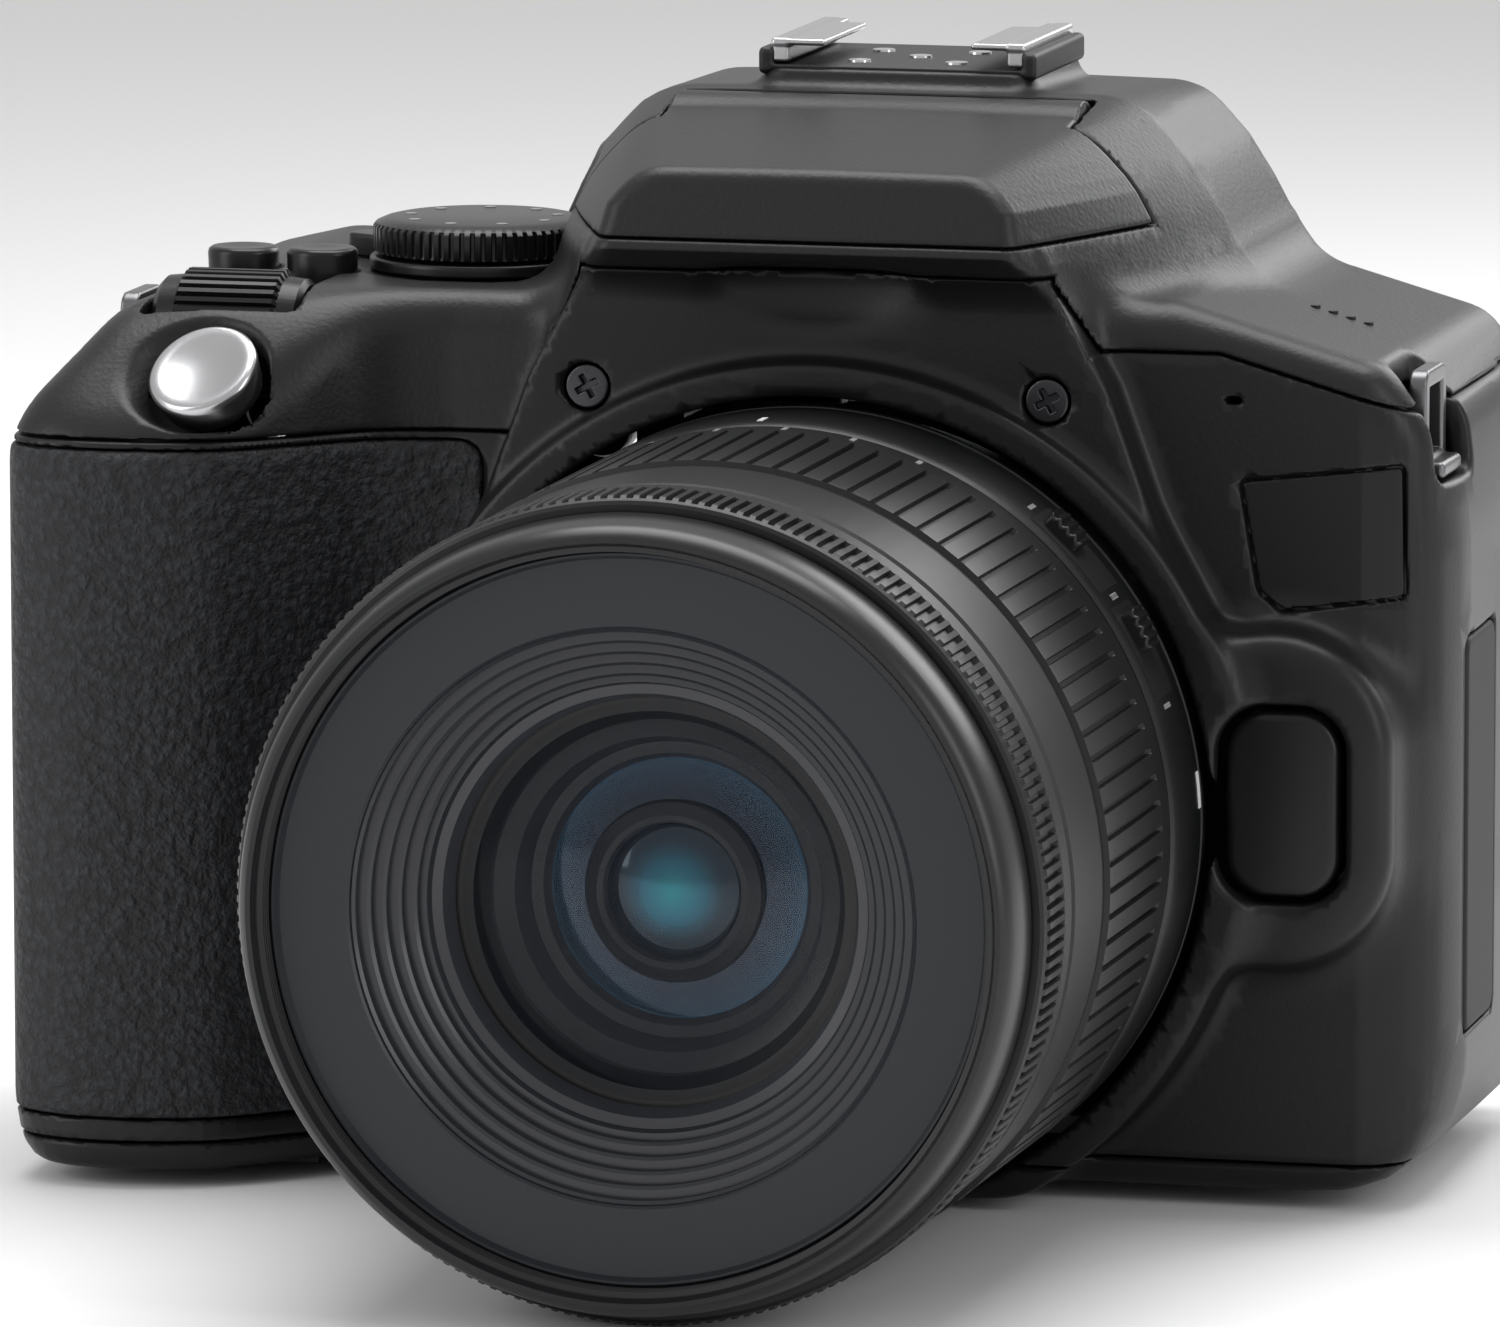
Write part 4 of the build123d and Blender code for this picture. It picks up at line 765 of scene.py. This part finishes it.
def patch(name, a0, a1, y0, y1, r, mat, body, thick=0.08, n=10):
    """Thin print or plate wrapped on the barrel between two angles (degrees, from +X towards +Z)."""
    th = np.radians(np.linspace(a0, a1, n))
    P = []
    for rr in (r, r + thick):
        for yv in (y0, y1):
            for t in th:
                P.append((rr * math.cos(t), yv, AZ + rr * math.sin(t)))
    P = np.array(P)
    g = np.arange(4 * n).reshape(4, n)
    q = []
    for a, b2 in ((0, 1), (1, 3), (3, 2), (2, 0)):
        for i in range(n - 1):
            q.append((g[a, i], g[b2, i], g[b2, i + 1], g[a, i + 1]))
    q.append((g[0, 0], g[2, 0], g[3, 0], g[1, 0]))
    q.append((g[0, -1], g[1, -1], g[3, -1], g[2, -1]))
    o = fast_mesh(name, P, [np.array(q)], mat, None, 30)
    import bmesh
    bm = bmesh.new(); bm.from_mesh(o.data)
    bmesh.ops.recalc_face_normals(bm, faces=bm.faces)
    bm.to_mesh(o.data); bm.free()
    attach(o, body)
    return o


patch("index_mark", 2.4, 7.6, Y(-3.1), Y(-2.4), 33.27, M["white"], CAM)
for i, a in enumerate((118, 108, 98, 88, 78, 68)):
    patch("focal_tick_%d" % i, a - 0.35, a + 0.35, Y(-14.6), Y(-13.2), 33.03, M["grey"], "zoom")
patch("scale_index", 92.6, 93.4, Y(-11.0), Y(-9.0), 33.23, M["white"], CAM)
for i, (a, node) in enumerate(((44.0, "af_switch"), (27.0, "is_switch"))):
    patch("switch_plate_%d" % i, a - 7.2, a + 7.2, Y(-10.6), Y(-4.2), 33.2, M["deep"], CAM, 0.1, 14)
    for s in (-8.6, 8.6):
        patch("switch_tick_%d_%s" % (i, "a" if s < 0 else "b"), a + s - 0.35, a + s + 0.35, Y(-8.4), Y(-6.4), 33.22, M["grey"], CAM)


def f_switch(a):
    n = np.array((math.cos(math.radians(a)), 0, math.sin(math.radians(a))))
    t = np.array((-n[2], 0, n[0]))

    def f(x, y, z):
        u = y - Y(-7.4)
        w = x * t[0] + (z - AZ) * t[2] - 1.6
        h = x * n[0] + (z - AZ) * n[2]
        d = sd_rect(u, w, 0, 0, 1.8, 1.8, 0.5)
        rib = 0.16 * np.cos(w * 2 * math.pi / 0.9)
        return smax(smax(d, h - 34.35 - rib, 0.35), 31.8 - h, 0.2)
    return f


for a, bd, nd in ((44.0, "af_switch", "af_mode_switch"), (27.0, "is_switch", "stabilizer_switch")):
    cx, cz = 33 * math.cos(math.radians(a)), AZ + 33 * math.sin(math.radians(a))
    iso(nd + "_knob", f_switch(a), (cx - 5, Y(-10), cz - 4), (cx + 4, Y(-5), cz + 5), 0.16, M["key"], bd, [nd])

# ------------------------------------------------------------------ top controls
ring("shutter_cap", [(-2.0, 1e-4), (-2.0, 4.3), (0.3, 4.72), (0.8, 4.72), (1.1, 4.5), (1.2, 4.2), (1.05, 3.4), (0.85, 2.4),
                     (0.72, 1.2), (0.68, 0.4), (0.68, 1e-4)], M["silver"], "shutter_key", ["shutter_button"], 128,
     axis=tuple(SN), origin=tuple(SHUT), sharp=50)
ring("main_dial_wheel", [(-58.2, 1e-4), (-58.2, 4.2), (-57.7, 4.7), (-56.2, 4.85), (-55.9, 5.4), (-47.6, 5.4), (-47.3, 4.85),
                         (-45.8, 4.7), (-45.4, 4.2), (-45.4, 1e-4)], M["key"], "control_dial", ["main_dial"],
     mod=teeth(36, 0.45, [0, 0, 0, 0, 1, 1, 0, 0, 0, 0], 0.5, 0.12), c=DIAL_C, axis="x")
ring("mode_dial_knob", [(71, 2.1), (74.7, 2.1), (74.7, 8.7), (74.9, 9.1), (75.2, 9.25), (77.0, 9.25), (77.3, 9.0), (77.6, 8.3),
                        (77.75, 7.6), (77.7, 1e-4), (71, 1e-4)], M["key"], "mode_wheel", ["mode_dial"],
     mod=teeth(64, 0.5, [0, 0, 0, 0, 1, 1, 0, 0, 0, 0, 0], 0.3, 0.12), c=MODE, axis="z")
for i in range(9):
    a = math.radians(i * 40 + 20)
    ca = (MODE[0] + 6.3 * math.cos(a), MODE[1] + 6.3 * math.sin(a))
    ring("mode_mark_%d" % i, [(77.6, 1e-4), (77.6, 0.5), (77.78, 0.5), (77.78, 1e-4)], M["grey"], "mode_wheel",
         (), 24, c=ca, axis="z")


def f_power(x, y, z):
    rm = np.sqrt((x - MODE[0]) ** 2 + (y - MODE[1]) ** 2)
    ang = math.radians(-25)
    px, py = x - (MODE[0] - 9.9), y - (MODE[1] + 4.6)
    u, v = px * math.cos(ang) + py * math.sin(ang), -px * math.sin(ang) + py * math.cos(ang)
    lev = sd_rect(u, v, 0, 0, 3.3, 1.7, 1.3)
    d = smin(rm - 9.55, lev, 1.5)
    topz = 74.55 + 0.9 * np.clip((11.2 - 9.6 + (rm - 9.6)) / 3.0, 0, 1) * np.clip((rm - 9.7) / 1.2, 0, 1)
    d = smax(smax(d, z - topz, 0.35), Z_PLATE + 0.1 - z, 0.2)
    d = np.minimum(d, smax(rm - 4.0, np.abs(z - 72.3) - 1.7, 0.1))
    return cut(d, rm - 2.25, 0.1)


iso("power_lever_ring", f_power, (MODE[0] - 15, MODE[1] - 11, 70), (MODE[0] + 11, MODE[1] + 11, 77), 0.2, M["key"],
    "power_lever", ["power_switch"])


def round_key(name, c, r, z0, z1, body, node, mat="key", axis="z", dish=0.12):
    return ring(name, [(z0, 1e-4), (z0, r - 0.1), (z1 - 0.5, r), (z1 - 0.2, r - 0.08), (z1, r - 0.35), (z1 - dish * 0.4, r * 0.6),
                       (z1 - dish, r * 0.3), (z1 - dish, 1e-4)], M[mat], body, [node], 96, c=c, axis=axis, sharp=50)


round_key("iso_key_cap", ISO, 3.0, 71.4, 75.3, "iso_key", "iso_button")
round_key("disp_key_cap", DISP, 3.0, 71.4, 75.1, "disp_key", "disp_button")

# ------------------------------------------------------------------ front: release button, screws, badge plate
def f_release(x, y, z):
    s = sd_rect(x, z, REL[0], REL[1], 4.75, 7.65, 3.4)
    frontface = Y(-0.75) + 0.012 * (x - REL[0]) ** 2 + 0.004 * (z - REL[1]) ** 2
    return smax(smax(s, frontface - y, 0.9), y - Y(4.5), 0.3)


iso("release_key_cap", f_release, (33, Y(-2), 24), (46, Y(6), 44), 0.25, M["satin"], "release_key", ["lens_release_button"])


def f_screw(sx):
    def f(x, y, z):
        u, v = x - sx, z - 66.4
        c, s_ = math.cos(0.5), math.sin(0.5)
        u, v = u * c + v * s_, -u * s_ + v * c
        r_ = np.sqrt(u * u + v * v)
        d = smax(smax(r_ - 1.85, Y(0.85) + 0.02 * r_ * r_ - y, 0.25), y - Y(2.1), 0.1)
        cross = np.minimum(sd_rect(u, v, 0, 0, 1.05, 0.27, 0.1), sd_rect(u, v, 0, 0, 0.27, 1.05, 0.1))
        return cut(d, smax(cross, y - Y(1.7) - 0.0 * x, 0.05), 0.08)
    return f


s1 = iso("fairing_screw_left", f_screw(-19.5), (-22.2, Y(0.2), 63.8), (-16.8, Y(2.6), 69.0), 0.1, M["darkmetal"], CAM, ["fairing_screws"])
s2 = iso("fairing_screw_right", f_screw(19.5), (16.8, Y(0.2), 63.8), (22.2, Y(2.6), 69.0), 0.1, M["darkmetal"], CAM)


def f_badge(x, y, z):
    d = body_d(x, y, z)
    p = sd_poly(x, z, BADGE) + 0.28
    return smax(smax(p, d + 0.28, 0.12), -(d + 1.0), 0.1)


iso("badge_plate", f_badge, (33, Y(2), 47), (50, Y(11), 63), 0.2, M["satin"], CAM)

# strap lugs: bent wire loops on their seats


def f_lug(cx, cy, cz, sx):
    def f(x, y, z):
        ox = (x - cx) * sx
        r_ = sd_rect(y, z, cy, cz, 4.1, 4.3, 1.5)
        plate = smax(np.abs(r_ + 0.75) - 0.75, np.abs(ox) - 0.75, 0.3)
        foot = sd_box(x, y, z, cx - 2.2, cx + 2.2, cy - 3.6, cy + 3.6, cz - 4.6, cz - 3.2, 0.5)
        return smin(plate, foot, 0.5)
    return f


iso("strap_lug_r", f_lug(48.6, LUG_R[1], 64.3, 1), (45.2, LUG_R[1] - 5.2, 58.6), (52.2, LUG_R[1] + 5.2, 69.6), 0.2, M["lug"], CAM, ["strap_lugs"])
iso("strap_lug_l", f_lug(-64.2, LUG_L[1], 66.4, -1), (-68, LUG_L[1] - 5.2, 60.5), (-60.5, LUG_L[1] + 5.2, 71.5), 0.2, M["lug"], CAM)

# ------------------------------------------------------------------ accessory shoe
def f_rail(x, y, z):
    side = sd_box(np.abs(x), y, z, 9.4, 10.9, SHOE_Y0 + 0.2, SHOE_Y1, 90.6, 92.6, 0.3)
    lip = sd_box(np.abs(x), y, z, 6.3, 10.9, SHOE_Y0 + 0.2, SHOE_Y1, 92.05, 92.6, 0.22)
    d = smin(side, lip, 0.3)
    notch = sd_box(np.abs(x), y, z, 5.0, 8.6, SHOE_Y1 - 3.2, SHOE_Y1 + 2, 91.5, 93.5, 0.4)
    return cut(d, notch, 0.15)


def f_bed(x, y, z):
    d = sd_box(x, y, z, -11.3, 11.3, SHOE_Y0 - 0.1, SHOE_Y1 + 0.2, 90.0, 90.45, 0.15)
    wall = sd_box(np.abs(x), y, z, 10.7, 12.0, SHOE_Y0 - 0.2, SHOE_Y1 + 0.2, 89.6, 91.9, 0.5)
    return smin(d, wall, 0.3)


iso("shoe_rails", f_rail, (-12, SHOE_Y0 - 1, 89.9), (12, SHOE_Y1 + 1, 93.3), 0.18, M["silver"], CAM, ["hot_shoe"])
iso("shoe_bed", f_bed, (-13, SHOE_Y0 - 1, 89.0), (13, SHOE_Y1 + 1, 92.6), 0.2, M["deep"], CAM)
for i, (px, py) in enumerate(((0, 8.5), (-4.2, 4.0), (4.2, 4.0), (-4.2, 12.5), (4.2, 12.5))):
    ring("shoe_contact_%d" % i, [(90.4, 1e-4), (90.4, 1.0), (90.62, 0.95), (90.66, 1e-4)], M["mount"], CAM, (), 32,
         c=(px, SHOE_Y0 + py), axis="z")

# ------------------------------------------------------------------ side covers
def f_port(z0, z1):
    def f(x, y, z):
        d = body_d(x, y, z)
        s = smax(sd_rect(y, z, (PORT["y0"] + PORT["y1"]) / 2, (z0 + z1) / 2, (PORT["y1"] - PORT["y0"]) / 2, (z1 - z0) / 2, 1.6),
                 d - 0.05, 0.5)
        return smax(s, 51.2 - x, 0.2)
    return f


iso("terminal_flap", f_port(PORT["z0"], PORT["z1"]), (49, PORT["y0"] - 2, PORT["z0"] - 2), (55, PORT["y1"] + 2, PORT["z1"] + 2), 0.25,
    M["rubber"], "flap", ["terminal_cover"])

# ------------------------------------------------------------------ back
def f_eyecup(x, y, z):
    o = sd_rect(x, z, 0, 74.2, 17.5, 11.25, 6)
    i = sd_rect(x, z, 0, 74.2, 10.5, 7.3, 3.5)
    bulge = 0.0
    d = smax(smax(o + 0.02 * (y - Y(60.8)) ** 2 * 0.3, -(i + (Y(60.8) - y) * 0.0), 1.6), y - Y(60.8) + 0.006 * x * x * 0 + bulge, 1.8)
    lip = smax(i - 0.0, Y(55) - y, 0.2)
    d = smax(d, Y(52.35) - y, 0.8)
    return d


iso("eyecup_rubber", f_eyecup, (-19, Y(51), 61), (19, Y(62), 87), 0.3, M["rubber"], "eye_cup", ["eyecup"])


def f_lcd(x, y, z):
    d = sd_box(x, y, z, LCD["x0"], LCD["x1"], LCD["y0"], LCD["y1"], LCD["z0"], LCD["z1"], 1.1)
    d = smax(d, sd_rect(x, z, (LCD["x0"] + LCD["x1"]) / 2, (LCD["z0"] + LCD["z1"]) / 2, (LCD["x1"] - LCD["x0"]) / 2,
                        (LCD["z1"] - LCD["z0"]) / 2, 3.2), 0.3)
    d = cut(d, sd_box(x, y, z, LCD["x0"] + 4.4, LCD["x1"] - 5.2, LCD["y1"] - 1.5, LCD["y1"] + 3, LCD["z0"] + 4.4, LCD["z1"] - 5.0, 1.0), 0.3)
    return cut(d, sd_box(x, y, z, LCD["x1"] - 1.6, LCD["x1"] + 9, LCD_AX[1] - 1.8, LCD_AX[1] + 1.8, 25.8, 41.2, 0.3), 0.2)


iso("monitor_case", f_lcd, (-27, Y(49.2), 4), (48.5, Y(58), 61.5), 0.4, M["satin"], "monitor", ["lcd_housing"], 0.02)
for n_, (cx, cz, rk) in KEYS.items():
    bn = n_.replace("_button", "_key")
    round_key(n_ + "_cap", (cx, cz), rk, Y(48.4), Y(52.0), bn, n_, axis="y")
round_key("set_cap", PAD, 3.3, Y(48.4), Y(52.6), "set_key", "set_button", axis="y")
ring("pad_ring", [(Y(50.55), 3.75), (Y(50.55), 8.9), (Y(51.6), 9.0), (Y(52.0), 8.7), (Y(52.2), 8.2), (Y(51.7), 6.0), (Y(51.8), 4.4),
                  (Y(51.9), 3.9), (Y(51.6), 3.75)], M["key"], "pad", ["dpad"], 128, c=PAD, sharp=40)
for i, (dx, dz) in enumerate(((0, 6.4), (6.4, 0), (0, -6.4), (-6.4, 0))):
    ring("pad_mark_%d" % i, [(Y(51.6), 1e-4), (Y(51.6), 0.5), (Y(51.95), 0.5), (Y(51.95), 1e-4)], M["white"], "pad", (), 20,
         c=(PAD[0] + dx, PAD[1] + dz))
ring("dioptre_knob", [(Y(48.6), 1e-4), (Y(48.6), 3.5), (Y(52.7), 3.55), (Y(53.2), 3.1), (Y(53.2), 1e-4)], M["key"], "dioptre_wheel",
     ["diopter_dial"], mod=teeth(24, 0.5, [0, 0, 1, 0, 0], 0.25, 0.12), c=DIOPTER)

# small grille beside the shoulder
# the grille's holes are black discs on the surface, not cut: painted shade
for i in range(4):
    gx = 37.0 + i * 1.5
    gz = 74.2 - (gx - 29) * (5.0 / 17.5) + 0.05
    ring("grille_hole_shade_%d" % i, [(gz - 0.2, 1e-4), (gz - 0.2, 0.42), (gz + 0.12, 0.42), (gz + 0.12, 1e-4)], M["deep"], CAM, (), 20,
         c=(gx, Y(24.0)), axis="z")

# ------------------------------------------------------------------ CAD pieces that stay: finishes
KEEP = {
    "chassis": "alloy", "tripod_socket": "alloy", "mirror_box": "deep", "mount_ring": "mount", "reflex_mirror": "mirror",
    "focusing_screen": "clear", "pentaprism": "clear", "eyepiece_lens": "clear", "shutter_unit": "deep", "shutter_curtain": "deep",
    "image_sensor": "board", "main_board": "board", "battery": "battery", "memory_card": "key", "battery_door": "body",
    "jack_panel": "deep", "flash_window": "clear", "flash_hinge_pin": "silver", "lens_lock_pin": "silver", "lcd_hinge": "satin",
    "lcd_glass": "screen", "lens_bayonet": "lens", "rear_element": "clear",
}
for n_, mt in KEEP.items():
    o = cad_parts[n_]
    o.data.materials.clear()
    o.data.materials.append(M[mt])

# ------------------------------------------------------------------ floor, light, camera
me = bpy.data.meshes.new("floor")
S = 3.0
me.from_pydata([(-S, -S, -0.00092), (S, -S, -0.00092), (S, S, -0.00092), (-S, S, -0.00092)], [], [(0, 1, 2, 3)])
floor = bpy.data.objects.new("floor", me)
bpy.context.scene.collection.objects.link(floor)
mf, ntf, bf = new_mat("studio_floor")
col(bf, (0.86, 0.86, 0.86)); setv(bf, rough=0.85, spec=0.1)
me.materials.append(mf)

world = bpy.data.worlds.new("studio")
bpy.context.scene.world = world
world.use_nodes = True
world.node_tree.nodes["Background"].inputs["Color"].default_value = (1, 1, 1, 1)
world.node_tree.nodes["Background"].inputs["Strength"].default_value = 0.6


def area(name, loc, target, size, power, size_y=None):
    l = bpy.data.lights.new(name, "AREA")
    l.shape = "RECTANGLE"
    l.size = size
    l.size_y = size_y or size
    l.energy = power
    o = bpy.data.objects.new(name, l)
    bpy.context.scene.collection.objects.link(o)
    o.location = loc
    o.rotation_euler = (Vector(target) - Vector(loc)).to_track_quat("-Z", "Y").to_euler()
    return o


area("top_soft", (0.0, 0.12, 0.62), (0, -0.02, 0.04), 0.55, 3.5, 0.4)
area("left_soft", (-0.55, -0.42, 0.30), (-0.01, -0.02, 0.04), 0.32, 1.3, 0.5)
area("right_strip", (0.62, -0.25, 0.28), (0.02, 0.0, 0.04), 0.16, 0.9, 0.5)
area("back_rim", (0.25, 0.55, 0.35), (0, 0, 0.05), 0.4, 1.4, 0.3)

cam = bpy.data.cameras.new("camera")
co = bpy.data.objects.new("camera", cam)
bpy.context.scene.collection.objects.link(co)
az, el, D = math.radians(14.19), math.radians(9.15), 1155.2
back = Vector((math.sin(az) * math.cos(el), -math.cos(az) * math.cos(el), math.sin(el)))
co.location = (Vector((0, YF, AZ)) + back * D) * MM
co.rotation_euler = back.to_track_quat("Z", "Y").to_euler()
cam.sensor_fit = "HORIZONTAL"
cam.sensor_width = 36.0
cam.lens = 13996.1 * 36.0 / 1500.0
cam.shift_x = (750 - 813.24) / 1500.0
cam.shift_y = (803.73 - 663.5) / 1500.0
cam.clip_end = 20
bpy.context.scene.camera = co
bpy.context.scene.view_settings.view_transform = "Standard"
